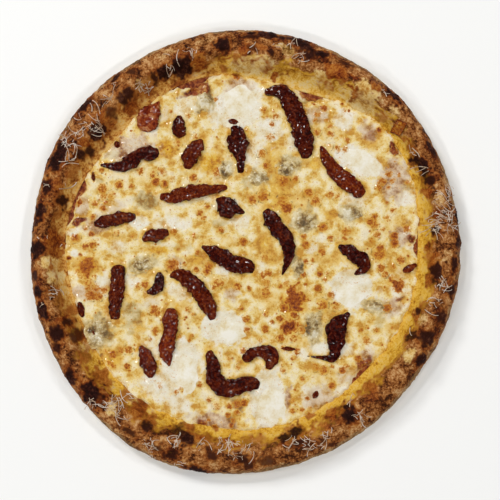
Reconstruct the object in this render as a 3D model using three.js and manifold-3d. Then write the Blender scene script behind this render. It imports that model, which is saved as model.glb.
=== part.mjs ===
// A whole three cheese pizza, seen from above with +Y away from the viewer: a puffed crust with
// shreds of hard cheese on its rim, tomato sauce, one sheet of melted cheese, pools of mozzarella,
// crumbled blue cheese and strips of sun-dried tomato. Millimetres, +Z up, resting on z = 0.

import * as THREE from 'three';
import { mergeVertices } from 'three/addons/utils/BufferGeometryUtils.js';
import Module from 'manifold-3d';

// ---------------------------------------------------------------- driving dimensions

const EDGE_RADIUS = 151.3;      // mean radius of the crust's outer edge
const DISH_RADIUS = 123.7;      // mean radius of the hollow that holds the toppings
const RIM_HEIGHT = 21;          // mean height of the puffed rim
const BELLY_HEIGHT = 8;         // height at which the rim is widest
const FOOT_INSET = 7;           // how far the rim's outer foot tucks under
const CREST_INSET = 13;         // how far in from the edge the rim is highest
const FOOT_OVERLAP = 1;         // the rim's inner slope starts this far inside the hollow
const BASE_THICKNESS = 4.5;
const GAP = 0.3;                // clearance between pieces that lie on each other
const SAUCE_TOP = 6.4;
const CHEESE_LEVEL = 8.3;       // mean height of the melted cheese's top
const CHEESE_EDGE_DROP = 0.9;   // how much lower the cheese is at its own edge
const CHEESE_MARGIN = 1.3;      // bare dough between the cheese and the hollow's edge
const POOL_THICKNESS = 1.7;
const CRUMBLE_THICKNESS = 2.0;
const SHRED_WIDTH = 1.1;

const RIM_SEGMENTS = 144;
const SHEET_SEGMENTS = 64;
const SHEET_RINGS = 13;
const STRIP_SIDES = 8;
const STRIP_ROWS = 10;
const PATCH_SIDES = 12;
const PATCH_ROWS = 6;

// Waves round the pizza: [number of lobes, height in mm, bearing of a crest in degrees].
const EDGE_WAVES = [[1, 1.5, 174], [2, 2.8, 80], [3, 1.5, 6], [4, 0.4, -21], [7, 0.5, -9]];
const DISH_WAVES = [[1, 1.3, -166], [2, 2.3, 45], [3, 1.5, 25], [4, 1.1, 22], [5, 1.7, 34], [6, 1.5, -16]];
const HEIGHT_WAVES = [[2, 0.9, 20], [3, 0.8, -30], [5, 0.6, 50], [8, 0.5, 10]];

// Waves across the melted cheese: [height in mm, length in mm, heading in degrees].
const CHEESE_WAVES = [[0.3, 62, 20], [0.25, 55, 95], [0.2, 70, 150]];

// Places where the sauce shows beyond the cheese: [bearing, depth in mm, half width in degrees].
const SAUCE_BAYS = [[107, 7, 6], [67, 5, 5], [33, 3, 3], [159, 4, 4], [169, 5, 4], [312, 4, 4], [1, 4, 4]];

// Dough bubbles on the rim: [x, y, radius, height].
const DOUGH_BUBBLES = [
  [82, 105, 17, 5], [-7, 128, 14, 4], [6, 130, 15, 4], [18, 130, 13, 4],
  [-75, -101, 18, 5], [-31, 131, 10, 3.5], [-118, -52, 13, 3], [60, -118, 14, 2.5],
];

// A square scrap of browned cheese baked onto the rim: its place and size.
const SCRAP = { bearing: 38, inset: 15.5, length: 8, width: 7.5, height: 5, heading: 60 };

const BLISTER_COUNT = 44;
const BLISTER_SEED = 61;

// Clusters of shreds on the rim: [bearing in degrees, inset from the edge, number of shreds].
const SHRED_CLUSTERS = [
  [150, 11, 4], [142, 17, 3], [129, 9, 2], [115, 12, 2], [85, 9, 2], [49, 7, 1], [10, 12, 3], [348, 11, 3],
  [331, 12, 2], [315, 11, 2], [294, 14, 2], [282, 12, 2], [270, 13, 2], [259, 13, 2], [252, 14, 2],
  [231, 16, 2], [196, 7, 1],
];
const SHRED_SEED = 17;

// Tomato strips: the middle line as [x, y, width] points, in the order it runs.
const TOMATO_STRIPS = [
  [[14, 110, 6], [26, 110, 10], [32, 101, 12], [37, 90, 13], [42, 73, 14], [42, 63, 8]],
  [[53, 72, 3], [56, 65, 7], [60, 58, 9], [66, 51, 11], [77, 42, 13], [83, 38, 8]],
  [[-9, 86, 4], [-5, 81, 12], [-5, 75, 15], [-4, 69, 12], [-3, 63, 7], [-3, 53, 6]],
  [[-46, 94, 4], [-46, 89, 8], [-46, 84, 10], [-43, 79, 7]],
  [[-30, 77, 3], [-33, 72, 10], [-37, 67, 12], [-39, 61, 10], [-40, 56, 6]],
  [[-101, 59, 3], [-86, 58, 8], [-80, 61, 10], [-72, 67, 8], [-66, 67, 10], [-60, 69, 7]],
  [[-59, 37, 6], [-52, 36, 8], [-45, 38, 10], [-37, 40, 10], [-21, 42, 7], [-12, 43, 4]],
  [[-20, 35, 3], [-15, 32, 12], [-10, 28, 14], [-5, 27, 7], [0, 25, 2]],
  [[14, 27, 7], [18, 22, 12], [23, 14, 11], [29, 6, 10], [30, -7, 7], [26, -18, 2]],
  [[-30, 2, 3], [-24, -1, 8], [-17, -5, 11], [-9, -10, 12], [1, -12, 12], [6, -16, 5]],
  [[-105, 17, 4], [-99, 19, 8], [-91, 21, 9], [-84, 22, 9], [-76, 23, 6]],
  [[-71, 6, 4], [-66, 9, 9], [-60, 10, 9], [-53, 12, 6]],
  [[-89, -11, 7], [-88, -16, 11], [-88, -24, 10], [-89, -33, 10], [-90, -40, 10], [-90, -49, 8]],
  [[-59, -16, 4], [-59, -21, 7], [-60, -26, 7], [-64, -29, 6], [-68, -30, 3]],
  [[-52, -19, 3], [-47, -18, 7], [-40, -21, 11], [-33, -27, 12], [-25, -40, 11], [-22, -49, 7]],
  [[-51, -41, 10], [-51, -48, 12], [-51, -56, 9], [-53, -64, 9], [-54, -71, 11], [-52, -81, 2]],
  [[-72, -67, 4], [-69, -73, 9], [-67, -78, 11], [-65, -84, 10], [-65, -89, 5]],
  [[-24, -70, 5], [-23, -77, 9], [-20, -90, 12], [-13, -96, 12], [4, -93, 11], [10, -95, 6]],
  [[-1, -77, 6], [3, -74, 9], [8, -71, 7], [14, -71, 10], [19, -74, 12], [16, -83, 6]],
  [[72, -44, 5], [64, -54, 14], [63, -61, 12], [63, -68, 9], [60, -75, 6], [53, -75, 3], [43, -74, 1]],
  [[65, 2, 4], [71, -1, 9], [76, -4, 10], [81, -8, 10], [83, -13, 8], [76, -18, 3]],
  [[109, -16, 2], [113, -14, 5], [119, -11, 3]],
];

// Round or oval pieces: [x, y, length, width, heading of the length in degrees].
const MOZZARELLA_POOLS = [
  [-3, 104, 28, 25, 0], [82, 61, 34, 18, -30], [-40, -87, 32, 18, 90],
  [-9, -57, 24, 18, 0], [73, -32, 23, 19, 0], [19, -108, 28, 22, 90],
];
const BLUE_CHEESES = [
  [-28, 105, 15, 12, 90], [-13, 56, 12, 10, 90], [30, 56, 14, 11, 20], [10, 50, 16, 10, 0],
  [42, 18, 19, 17, 0], [74, 24, 19, 13, 10], [-102, -59, 21, 18, 100], [-72, -11, 16, 10, 15],
  [47, -55, 23, 13, 90], [38, -14, 13, 8, 90], [91, -40, 15, 8, -15],
];

// The piece of cooked tomato: its middle line, in the same way as the strips.
const TOMATO_FLESH = [[-60, 104, 2], [-63, 99, 9], [-67, 93, 14], [-69, 88, 16], [-71, 83, 11]];

// How much thicker a tomato piece gets for each mm of its width.
const STRIP_SWELL = 0.32;
const FLESH_SWELL = 0.16;

// ---------------------------------------------------------------- small helpers

const radians = THREE.MathUtils.degToRad;

// A repeatable draw: each call gives the next number between 0 and 1.
function seededDraw(seed) {
  let state = seed;
  return () => {
    state = (state * 16807) % 2147483647;
    return state / 2147483647;
  };
}

const waveSum = (waves, bearing) => waves.reduce(
  (sum, [lobes, height, crest]) => sum + height * Math.cos(lobes * (bearing - radians(crest))), 0);

// Merges shared corners and drops triangles that have no area, so that the mesh is closed.
function closeUp(geometry) {
  geometry.deleteAttribute('normal');
  geometry.deleteAttribute('uv');
  const merged = mergeVertices(geometry, 1e-4);
  const corners = merged.index.array;
  const kept = [];
  for (let i = 0; i < corners.length; i += 3) {
    const [a, b, c] = corners.slice(i, i + 3);
    if (a !== b && b !== c && c !== a) kept.push(a, b, c);
  }
  merged.setIndex(kept);
  return merged;
}

// Moves every corner of a closed geometry by a function of its place.
function reshape(geometry, move) {
  const places = geometry.attributes.position;
  const place = new THREE.Vector3();
  for (let i = 0; i < places.count; i++) {
    place.fromBufferAttribute(places, i);
    move(place);
    places.setXYZ(i, place.x, place.y, place.z);
  }
  return geometry;
}

// Turns a profile of [radius, height] points round the Z axis.
function turned(profile, segments) {
  const points = profile.map(([radius, height]) => new THREE.Vector2(radius, height));
  return closeUp(new THREE.LatheGeometry(points, segments).rotateX(Math.PI / 2));
}

// ---------------------------------------------------------------- the pizza's surfaces

const edgeRadius = (bearing) => EDGE_RADIUS + waveSum(EDGE_WAVES, bearing);
const dishRadius = (bearing) => DISH_RADIUS + waveSum(DISH_WAVES, bearing);
const rimHeight = (bearing) => RIM_HEIGHT + waveSum(HEIGHT_WAVES, bearing);

const CREST_RADIUS = EDGE_RADIUS - CREST_INSET;
const SLOPE_FOOT = DISH_RADIUS - FOOT_OVERLAP;

// The mean height of the dough's upper side at a radius of the mean profile.
function meanRimTop(radius) {
  if (radius >= CREST_RADIUS) {
    const out = Math.min(1, (radius - CREST_RADIUS) / CREST_INSET);
    return BELLY_HEIGHT + (RIM_HEIGHT - BELLY_HEIGHT) * Math.sqrt(1 - out * out);
  }
  const up = Math.max(0, (radius - SLOPE_FOOT) / (CREST_RADIUS - SLOPE_FOOT));
  return BASE_THICKNESS + (RIM_HEIGHT - BASE_THICKNESS) * (1 - Math.cos(Math.PI * up)) / 2;
}

function scatterBlisters() {
  const draw = seededDraw(BLISTER_SEED);
  return Array.from({ length: BLISTER_COUNT }, (_, i) => {
    const bearing = 2 * Math.PI * (i + draw()) / BLISTER_COUNT;
    const distance = edgeRadius(bearing) - 5 - 15 * draw();
    const radius = 5 + 5 * draw();
    const height = 0.6 + 1.5 * draw();
    return [distance * Math.cos(bearing), distance * Math.sin(bearing), radius, height];
  });
}
const BUMPS = [...DOUGH_BUBBLES, ...scatterBlisters()];

// How far the bubbles lift the dough at a place in plan.
function bubbleLift(x, y) {
  return BUMPS.reduce((lift, [bumpX, bumpY, radius, height]) => {
    const near = 1 - ((x - bumpX) ** 2 + (y - bumpY) ** 2) / (radius * radius);
    return near > 0 ? lift + height * near * near : lift;
  }, 0);
}

// Takes a point of the mean rim profile to its place on the uneven crust.
function shapeCrust(place) {
  const bearing = Math.atan2(place.y, place.x);
  const radius = Math.hypot(place.x, place.y);
  const dish = dishRadius(bearing);
  const beyond = (radius - DISH_RADIUS) / (EDGE_RADIUS - DISH_RADIUS);
  const newRadius = beyond > -0.1 ? dish + beyond * (edgeRadius(bearing) - dish) : radius;
  place.x = newRadius * Math.cos(bearing);
  place.y = newRadius * Math.sin(bearing);
  if (place.z > BELLY_HEIGHT) {
    const stretch = (rimHeight(bearing) - BELLY_HEIGHT) / (RIM_HEIGHT - BELLY_HEIGHT);
    place.z = BELLY_HEIGHT + (place.z - BELLY_HEIGHT) * stretch;
  }
  if (radius > SLOPE_FOOT) {
    const share = THREE.MathUtils.smoothstep(place.z, BASE_THICKNESS + 1, BELLY_HEIGHT + 3);
    place.z += share * bubbleLift(place.x, place.y);
  }
}

// The crust's upper side at a bearing and an inset from its edge.
function crustPoint(bearing, inset) {
  const share = inset / (edgeRadius(bearing) - dishRadius(bearing));
  const radius = EDGE_RADIUS - share * (EDGE_RADIUS - DISH_RADIUS);
  const place = new THREE.Vector3(radius * Math.cos(bearing), radius * Math.sin(bearing), meanRimTop(radius));
  shapeCrust(place);
  return place;
}

// The top of the melted cheese, which everything above it is draped on.
function cheeseTop(x, y) {
  return CHEESE_WAVES.reduce((height, [size, length, heading]) => {
    const along = x * Math.cos(radians(heading)) + y * Math.sin(radians(heading));
    return height + size * Math.sin(2 * Math.PI * along / length);
  }, CHEESE_LEVEL);
}

function cheeseRadius(bearing) {
  const bays = SAUCE_BAYS.reduce((sum, [bay, depth, spread]) => {
    const off = Math.atan2(Math.sin(bearing - radians(bay)), Math.cos(bearing - radians(bay)));
    return sum + depth * Math.exp(-((off / radians(spread)) ** 2));
  }, 0);
  return dishRadius(bearing) - CHEESE_MARGIN - bays;
}

// ---------------------------------------------------------------- the crust

function doughProfile() {
  const profile = [[0, 0], [EDGE_RADIUS - FOOT_INSET, 0]];
  for (let i = 1; i <= 3; i++) {
    const turn = radians(30 * i);
    profile.push([
      EDGE_RADIUS - FOOT_INSET + FOOT_INSET * Math.sin(turn),
      BELLY_HEIGHT * (1 - Math.cos(turn)),
    ]);
  }
  for (let i = 1; i <= 5; i++) {
    const radius = CREST_RADIUS + CREST_INSET * Math.cos(radians(18 * i));
    profile.push([radius, meanRimTop(radius)]);
  }
  for (let i = 1; i <= 6; i++) {
    const radius = CREST_RADIUS - (CREST_RADIUS - SLOPE_FOOT) * i / 6;
    profile.push([radius, meanRimTop(radius)]);
  }
  profile.push([0, BASE_THICKNESS]);
  return profile;
}

// One shred: a thin bar laid along a short curved line on the crust, half sunk in it.
function shredOnCrust(bearing, inset, length, heading, bend) {
  const middle = crustPoint(bearing, inset);
  const bar = new THREE.BoxGeometry(length, SHRED_WIDTH, SHRED_WIDTH, 3, 1, 1);
  return reshape(closeUp(bar), (place) => {
    const along = place.x / length;
    const direction = heading + bend * along;
    const x = middle.x + place.x * Math.cos(direction) - place.y * Math.sin(direction);
    const y = middle.y + place.x * Math.sin(direction) + place.y * Math.cos(direction);
    const ground = Math.atan2(y, x);
    const under = crustPoint(ground, edgeRadius(ground) - Math.hypot(x, y));
    place.set(x, y, under.z + place.z + 0.1);
  });
}

function scrapOnCrust() {
  const seat = crustPoint(radians(SCRAP.bearing), SCRAP.inset);
  const block = new THREE.BoxGeometry(SCRAP.length, SCRAP.width, SCRAP.height);
  block.rotateZ(radians(SCRAP.heading)).translate(seat.x, seat.y, seat.z);
  return closeUp(block);
}

function scatterShreds() {
  const draw = seededDraw(SHRED_SEED);
  const shreds = [];
  for (const [bearing, inset, count] of SHRED_CLUSTERS) {
    for (let i = 0; i < count; i++) {
      const at = radians(bearing + 8 * (draw() - 0.5));
      const from = Math.max(6, inset + 8 * (draw() - 0.5));
      const length = 7 + 5 * draw();
      shreds.push(shredOnCrust(at, from, length, 2 * Math.PI * draw(), 1.6 * (draw() - 0.5)));
    }
  }
  return shreds;
}

// Joins closed geometries into one.
function joined(wasm, geometries) {
  const solids = geometries.map((geometry) => new wasm.Manifold(new wasm.Mesh({
    numProp: 3,
    vertProperties: new Float32Array(geometry.attributes.position.array),
    triVerts: new Uint32Array(geometry.index.array),
  })));
  const whole = solids.reduce((sum, solid) => sum.add(solid)).getMesh();
  const geometry = new THREE.BufferGeometry();
  geometry.setAttribute('position', new THREE.BufferAttribute(whole.vertProperties, 3));
  geometry.setIndex(new THREE.BufferAttribute(whole.triVerts, 1));
  return geometry;
}

// ---------------------------------------------------------------- sauce and melted cheese

function sauceSheet() {
  const bottom = BASE_THICKNESS + GAP;
  const profile = [[0, bottom], [DISH_RADIUS, bottom], [DISH_RADIUS, SAUCE_TOP], [0, SAUCE_TOP]];
  return reshape(turned(profile, SHEET_SEGMENTS), (place) => {
    const bearing = Math.atan2(place.y, place.x);
    const share = (dishRadius(bearing) - FOOT_OVERLAP) / DISH_RADIUS;
    place.x *= share;
    place.y *= share;
  });
}

function cheeseSheet() {
  const bottom = SAUCE_TOP + GAP;
  const profile = [[0, bottom], [DISH_RADIUS - 1.5, bottom], [DISH_RADIUS, bottom + 0.4]];
  for (let i = 0; i < SHEET_RINGS; i++) {
    profile.push([(DISH_RADIUS - 1.5) * (1 - i / SHEET_RINGS), CHEESE_LEVEL]);
  }
  profile.push([0, CHEESE_LEVEL]);
  return reshape(turned(profile, SHEET_SEGMENTS), (place) => {
    const share = cheeseRadius(Math.atan2(place.y, place.x)) / DISH_RADIUS;
    const isEdge = Math.hypot(place.x, place.y) > DISH_RADIUS - 2;
    place.x *= share;
    place.y *= share;
    if (place.z > bottom + 0.5) place.z = cheeseTop(place.x, place.y) - (isEdge ? CHEESE_EDGE_DROP : 0);
  });
}

// ---------------------------------------------------------------- toppings

// Swells a ball's narrow ends, so that a piece drawn out of it has blunt ones.
const fullness = (across, power) => (across > 1e-6 ? Math.pow(across, power - 1) : 0);

// A ball drawn out along a middle line of [x, y, width] points, flattened and laid on the cheese.
function tomatoStrip(line, swell = STRIP_SWELL) {
  const path = new THREE.CatmullRomCurve3(line.map(([x, y, width]) => new THREE.Vector3(x, y, width)));
  const ball = closeUp(new THREE.SphereGeometry(1, STRIP_SIDES, STRIP_ROWS));
  return reshape(ball, (place) => {
    const along = (1 - place.y) / 2;
    const across = Math.hypot(place.x, place.z);
    const here = path.getPoint(along);
    const ahead = path.getTangent(along).setZ(0).normalize();
    const aside = place.x * fullness(across, 0.45) * here.z / 2;
    const thickness = 1.2 + swell * here.z;
    const x = here.x - ahead.y * aside;
    const y = here.y + ahead.x * aside;
    place.set(x, y, cheeseTop(x, y) + GAP + thickness / 2 * (1 + place.z * fullness(across, 0.6)));
  });
}

// A ball flattened into an oval dome with a wavy outline, its underside laid on the cheese.
function ovalPiece([centreX, centreY, length, width, heading], thickness, waviness) {
  const turn = radians(heading);
  const ball = closeUp(new THREE.SphereGeometry(1, PATCH_SIDES, PATCH_ROWS).rotateX(Math.PI / 2));
  return reshape(ball, (place) => {
    const around = Math.atan2(place.y, place.x);
    const ripple = 1 + waviness * Math.sin(3 * around + centreX) * Math.cos(2 * around + centreY);
    const long = place.x * ripple * length / 2;
    const wide = place.y * ripple * width / 2;
    const x = centreX + long * Math.cos(turn) - wide * Math.sin(turn);
    const y = centreY + long * Math.sin(turn) + wide * Math.cos(turn);
    place.set(x, y, cheeseTop(x, y) + GAP + thickness * Math.max(0, place.z));
  });
}

// ---------------------------------------------------------------- the model

const finish = (color, roughness) => new THREE.MeshStandardMaterial({ color, roughness, metalness: 0 });

const pizza = new THREE.Group();

function addPiece(name, geometry, color, roughness) {
  const mesh = new THREE.Mesh(geometry, finish(color, roughness));
  mesh.name = name;
  pizza.add(mesh);
}

function addPieces(name, places, makeGeometry, color, roughness) {
  places.forEach((place, i) => addPiece(`${name}_${i + 1}`, makeGeometry(place), color, roughness));
}

const wasm = await Module();
wasm.setup();

const dough = reshape(turned(doughProfile(), RIM_SEGMENTS), shapeCrust);
addPiece('crust', joined(wasm, [dough, scrapOnCrust(), ...scatterShreds()]), '#a8703a', 0.85);
addPiece('tomato_sauce', sauceSheet(), '#a83a1c', 0.4);
addPiece('melted_cheese', cheeseSheet(), '#ecd9a2', 0.4);
const mozzarellaPool = (oval) => ovalPiece(oval, POOL_THICKNESS, 0.1);
const blueCheese = (oval) => ovalPiece(oval, CRUMBLE_THICKNESS, 0.2);
addPieces('mozzarella_pool', MOZZARELLA_POOLS, mozzarellaPool, '#f1ead2', 0.35);
addPieces('blue_cheese', BLUE_CHEESES, blueCheese, '#bdbaa4', 0.6);
addPieces('tomato_strip', TOMATO_STRIPS, (line) => tomatoStrip(line), '#5a120b', 0.35);
addPiece('tomato_flesh', tomatoStrip(TOMATO_FLESH, FLESH_SWELL), '#a2300f', 0.4);

// The origin goes to the middle of the crust's own box, on the surface it rests on.
const middle = new THREE.Box3().setFromObject(pizza).getCenter(new THREE.Vector3());
pizza.traverse((part) => {
  if (part.isMesh) part.geometry.translate(-middle.x, -middle.y, 0);
});

export default pizza;
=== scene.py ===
"""A whole three cheese pizza, seen from above on a plain pale floor.

Lengths are millimetres until a mesh is made, measured from the middle of the dough. Places read off
the photograph are in its pixels, and seen() gives the pixel at which a place of the pizza shows.
"""

import math

import bmesh
import bpy
import numpy as np
from mathutils import Matrix, Vector, noise


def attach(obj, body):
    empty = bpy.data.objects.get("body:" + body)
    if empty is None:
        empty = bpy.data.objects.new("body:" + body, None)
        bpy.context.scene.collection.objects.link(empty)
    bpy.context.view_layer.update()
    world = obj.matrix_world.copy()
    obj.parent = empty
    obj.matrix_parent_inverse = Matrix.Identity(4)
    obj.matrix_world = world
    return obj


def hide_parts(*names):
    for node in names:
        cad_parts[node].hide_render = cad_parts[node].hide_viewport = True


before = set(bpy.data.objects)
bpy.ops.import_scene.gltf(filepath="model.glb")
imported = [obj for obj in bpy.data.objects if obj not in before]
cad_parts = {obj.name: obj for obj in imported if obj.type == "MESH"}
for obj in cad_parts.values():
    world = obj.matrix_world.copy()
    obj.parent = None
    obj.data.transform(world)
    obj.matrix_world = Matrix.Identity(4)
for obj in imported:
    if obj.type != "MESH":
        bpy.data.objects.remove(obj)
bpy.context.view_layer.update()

# ------------------------------------------------------------------ the photograph's scale

PIXEL = 0.69  # one pixel, in mm
DOUGH_MIDDLE = (244.5, 248.5)  # the pixel at the middle of the dough
PICTURE_MIDDLE = (250, 250)
PICTURE_WIDTH = 500


def seen(x, y):
    """The pixel at which a place of the pizza shows."""
    return x / PIXEL + DOUGH_MIDDLE[0], DOUGH_MIDDLE[1] - y / PIXEL


def on_pizza(across, down):
    """The place of the pizza that shows at a pixel."""
    return (across - DOUGH_MIDDLE[0]) * PIXEL, (DOUGH_MIDDLE[1] - down) * PIXEL


# ------------------------------------------------------------------ sizes of the pizza

EDGE_RADIUS = 151.3
DISH_RADIUS = 123.7
RIM_HEIGHT = 21
BELLY_HEIGHT = 8
FOOT_INSET = 7
CREST_INSET = 13
FOOT_OVERLAP = 1
BASE_THICKNESS = 4.5
LEDGE_HEIGHT = 7.2  # the dough just beyond the melted cheese's edge
CHEESE_LEVEL = 8.3
CREST_RADIUS = EDGE_RADIUS - CREST_INSET
SLOPE_FOOT = DISH_RADIUS - FOOT_OVERLAP

# Waves round the pizza: [number of lobes, height in mm, bearing of a crest in degrees].
EDGE_WAVES = [[1, 1.5, 174], [2, 2.8, 80], [3, 1.5, 6], [4, 0.4, -21], [7, 0.5, -9]]
DISH_WAVES = [[1, 1.3, -166], [2, 2.3, 45], [3, 1.5, 25], [4, 1.1, 22], [5, 1.7, 34], [6, 1.5, -16]]
HEIGHT_WAVES = [[2, 0.9, 20], [3, 0.8, -30], [5, 0.6, 50], [8, 0.5, 10]]

# Waves across the melted cheese: [height in mm, length in mm, heading in degrees].
CHEESE_WAVES = [[0.3, 62, 20], [0.25, 55, 95], [0.2, 70, 150]]

# Places where the sauce shows beyond the cheese: [bearing, depth in mm, half width in degrees].
SAUCE_BAYS = [[107, 7, 6], [67, 5, 5], [33, 3, 3], [159, 4, 4], [169, 5, 4], [312, 4, 4], [1, 4, 4]]

# Dough bubbles on the rim: [x, y, radius, height].
DOUGH_BUBBLES = [
    [82, 105, 17, 5], [-7, 128, 14, 4], [6, 130, 15, 4], [18, 130, 13, 4],
    [-75, -101, 18, 5], [-31, 131, 10, 3.5], [-118, -52, 13, 3], [60, -118, 14, 2.5],
]
STRIP_SWELL = 0.32  # how much thicker a tomato piece gets for each mm of its width
FLESH_SWELL = 0.16
BLISTER_COUNT = 44
BLISTER_SEED = 61
RANDOM_FACTOR = 16807
RANDOM_LIMIT = 2147483647
SCRAP = {"bearing": 38, "inset": 15.5, "length": 8, "width": 7.5, "height": 5, "heading": 60}

# Tomato strips: the middle line as [x, y, width] points, in the order it runs.
TOMATO_STRIPS = [
    [[14, 110, 6], [26, 110, 10], [32, 101, 12], [37, 90, 13], [42, 73, 14], [42, 63, 8]],
    [[53, 72, 3], [56, 65, 7], [60, 58, 9], [66, 51, 11], [77, 42, 13], [83, 38, 8]],
    [[-9, 86, 4], [-5, 81, 12], [-5, 75, 15], [-4, 69, 12], [-3, 63, 7], [-3, 53, 6]],
    [[-46, 94, 4], [-46, 89, 8], [-46, 84, 10], [-43, 79, 7]],
    [[-30, 77, 3], [-33, 72, 10], [-37, 67, 12], [-39, 61, 10], [-40, 56, 6]],
    [[-101, 59, 3], [-86, 58, 8], [-80, 61, 10], [-72, 67, 8], [-66, 67, 10], [-60, 69, 7]],
    [[-59, 37, 6], [-52, 36, 8], [-45, 38, 10], [-37, 40, 10], [-21, 42, 7], [-12, 43, 4]],
    [[-20, 35, 3], [-15, 32, 12], [-10, 28, 14], [-5, 27, 7], [0, 25, 2]],
    [[14, 27, 7], [18, 22, 12], [23, 14, 11], [29, 6, 10], [30, -7, 7], [26, -18, 2]],
    [[-30, 2, 3], [-24, -1, 8], [-17, -5, 11], [-9, -10, 12], [1, -12, 12], [6, -16, 5]],
    [[-105, 17, 4], [-99, 19, 8], [-91, 21, 9], [-84, 22, 9], [-76, 23, 6]],
    [[-71, 6, 4], [-66, 9, 9], [-60, 10, 9], [-53, 12, 6]],
    [[-89, -11, 7], [-88, -16, 11], [-88, -24, 10], [-89, -33, 10], [-90, -40, 10], [-90, -49, 8]],
    [[-59, -16, 4], [-59, -21, 7], [-60, -26, 7], [-64, -29, 6], [-68, -30, 3]],
    [[-52, -19, 3], [-47, -18, 7], [-40, -21, 11], [-33, -27, 12], [-25, -40, 11], [-22, -49, 7]],
    [[-51, -41, 10], [-51, -48, 12], [-51, -56, 9], [-53, -64, 9], [-54, -71, 11], [-52, -81, 2]],
    [[-72, -67, 4], [-69, -73, 9], [-67, -78, 11], [-65, -84, 10], [-65, -89, 5]],
    [[-24, -70, 5], [-23, -77, 9], [-20, -90, 12], [-13, -96, 12], [4, -93, 11], [10, -95, 6]],
    [[-1, -77, 6], [3, -74, 9], [8, -71, 7], [14, -71, 10], [19, -74, 12], [16, -83, 6]],
    [[72, -44, 5], [64, -54, 14], [63, -61, 12], [63, -68, 9], [60, -75, 6], [53, -75, 3], [43, -74, 1]],
    [[65, 2, 4], [71, -1, 9], [76, -4, 10], [81, -8, 10], [83, -13, 8], [76, -18, 3]],
    [[109, -16, 2], [113, -14, 5], [119, -11, 3]],
]
# How light each strip is, from 0, nearly black, to 1, translucent red.
STRIP_TONES = [
    0.12, 0.65, 0.0, 0.2, 0.5, 0.1, 0.5, 0.05, 0.05, 0.12, 0.2,
    0.35, 0.35, 0.0, 0.45, 0.75, 0.5, 0.2, 0.3, 0.0, 0.05, 0.5,
]

# Round or oval pieces: [x, y, length, width, heading of the length in degrees].
MOZZARELLA_POOLS = [
    [-3, 104, 28, 25, 0], [82, 61, 34, 18, -30], [-40, -87, 32, 18, 90],
    [-9, -57, 24, 18, 0], [73, -32, 23, 19, 0], [19, -108, 28, 22, 90],
]
BLUE_CHEESES = [
    [-28, 105, 15, 12, 90], [-13, 56, 12, 10, 90], [30, 56, 14, 11, 20], [10, 50, 16, 10, 0],
    [42, 18, 19, 17, 0], [74, 24, 19, 13, 10], [-102, -59, 21, 18, 100], [-72, -11, 16, 10, 15],
    [47, -55, 23, 13, 90], [38, -14, 13, 8, 90], [91, -40, 15, 8, -15],
]
# The piece of cooked tomato, in the same way as the strips.
TOMATO_FLESH = [[-60, 104, 2], [-63, 99, 9], [-67, 93, 14], [-69, 88, 16], [-71, 83, 11]]

# ------------------------------------------------------------------ marks seen in the photograph

# Charred places on the rim: [x, y, half length along the rim, half width, strength], in pixels.
CHARRED = [
    [38, 249, 9, 8, 1], [35, 223, 7, 4, 0.9], [42, 211, 10, 7, 0.95], [46, 187, 9, 5, 0.9],
    [60, 200, 6, 6, 0.85], [57, 158, 17, 9, 1], [61, 146, 8, 7, 0.9], [80, 153, 6, 5, 0.85],
    [88, 150, 5, 5, 0.8], [95, 131, 10, 8, 1], [83, 105, 13, 4, 0.9], [113, 77, 9, 4, 0.85],
    [122, 98, 5, 7, 0.8], [110, 112, 7, 5, 0.6], [132, 71, 6, 4, 0.7], [127, 93, 6, 7, 0.8],
    [154, 76, 4, 6, 0.8], [163, 71, 9, 6, 1], [181, 64, 11, 9, 1], [223, 45, 8, 8, 0.95],
    [231, 29, 5, 2, 0.8], [250, 35, 9, 4, 0.8], [268, 33, 17, 4, 0.95], [252, 48, 6, 3, 0.6],
    [272, 53, 3, 5, 0.8], [297, 37, 12, 4, 0.85], [304, 44, 10, 8, 0.95], [309, 56, 6, 5, 0.85],
    [322, 54, 8, 6, 1], [345, 63, 9, 3, 0.65], [394, 97, 11, 4, 0.95], [430, 149, 12, 4, 0.85],
    [417, 160, 6, 5, 0.95], [423, 167, 6, 5, 1], [425, 175, 5, 5, 0.9], [429, 181, 6, 6, 0.85],
    [456, 218, 9, 3, 0.95], [434, 232, 4, 4, 0.9], [457, 243, 9, 3, 0.85], [452, 266, 9, 4, 0.85],
    [434, 272, 7, 6, 0.85], [449, 290, 8, 5, 0.85], [418, 311, 4, 3, 0.8], [437, 318, 9, 6, 0.8],
    [424, 338, 9, 9, 0.85], [409, 335, 5, 4, 0.8], [418, 359, 9, 5, 0.9], [347, 413, 9, 9, 0.95],
    [295, 430, 8, 5, 0.9], [284, 436, 5, 5, 0.9], [297, 440, 7, 4, 0.8], [308, 442, 6, 4, 0.7],
    [330, 441, 5, 2, 0.7], [266, 457, 9, 5, 0.6], [250, 462, 7, 4, 0.75], [188, 436, 8, 7, 0.95],
    [179, 430, 7, 6, 0.8], [173, 452, 7, 6, 0.8], [197, 467, 13, 4, 1], [213, 452, 8, 6, 0.75],
    [243, 456, 8, 5, 0.8], [149, 424, 6, 5, 0.85], [158, 445, 8, 5, 0.65], [132, 430, 7, 3, 0.7],
    [94, 393, 14, 9, 1], [73, 377, 8, 6, 0.95], [37, 276, 7, 5, 0.8], [41, 292, 7, 6, 0.95],
    [45, 310, 9, 6, 1], [59, 333, 9, 8, 0.9], [68, 323, 5, 5, 0.8], [77, 334, 8, 7, 0.65],
    [59, 348, 6, 4, 0.8], [72, 371, 5, 4, 0.8],
]
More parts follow.
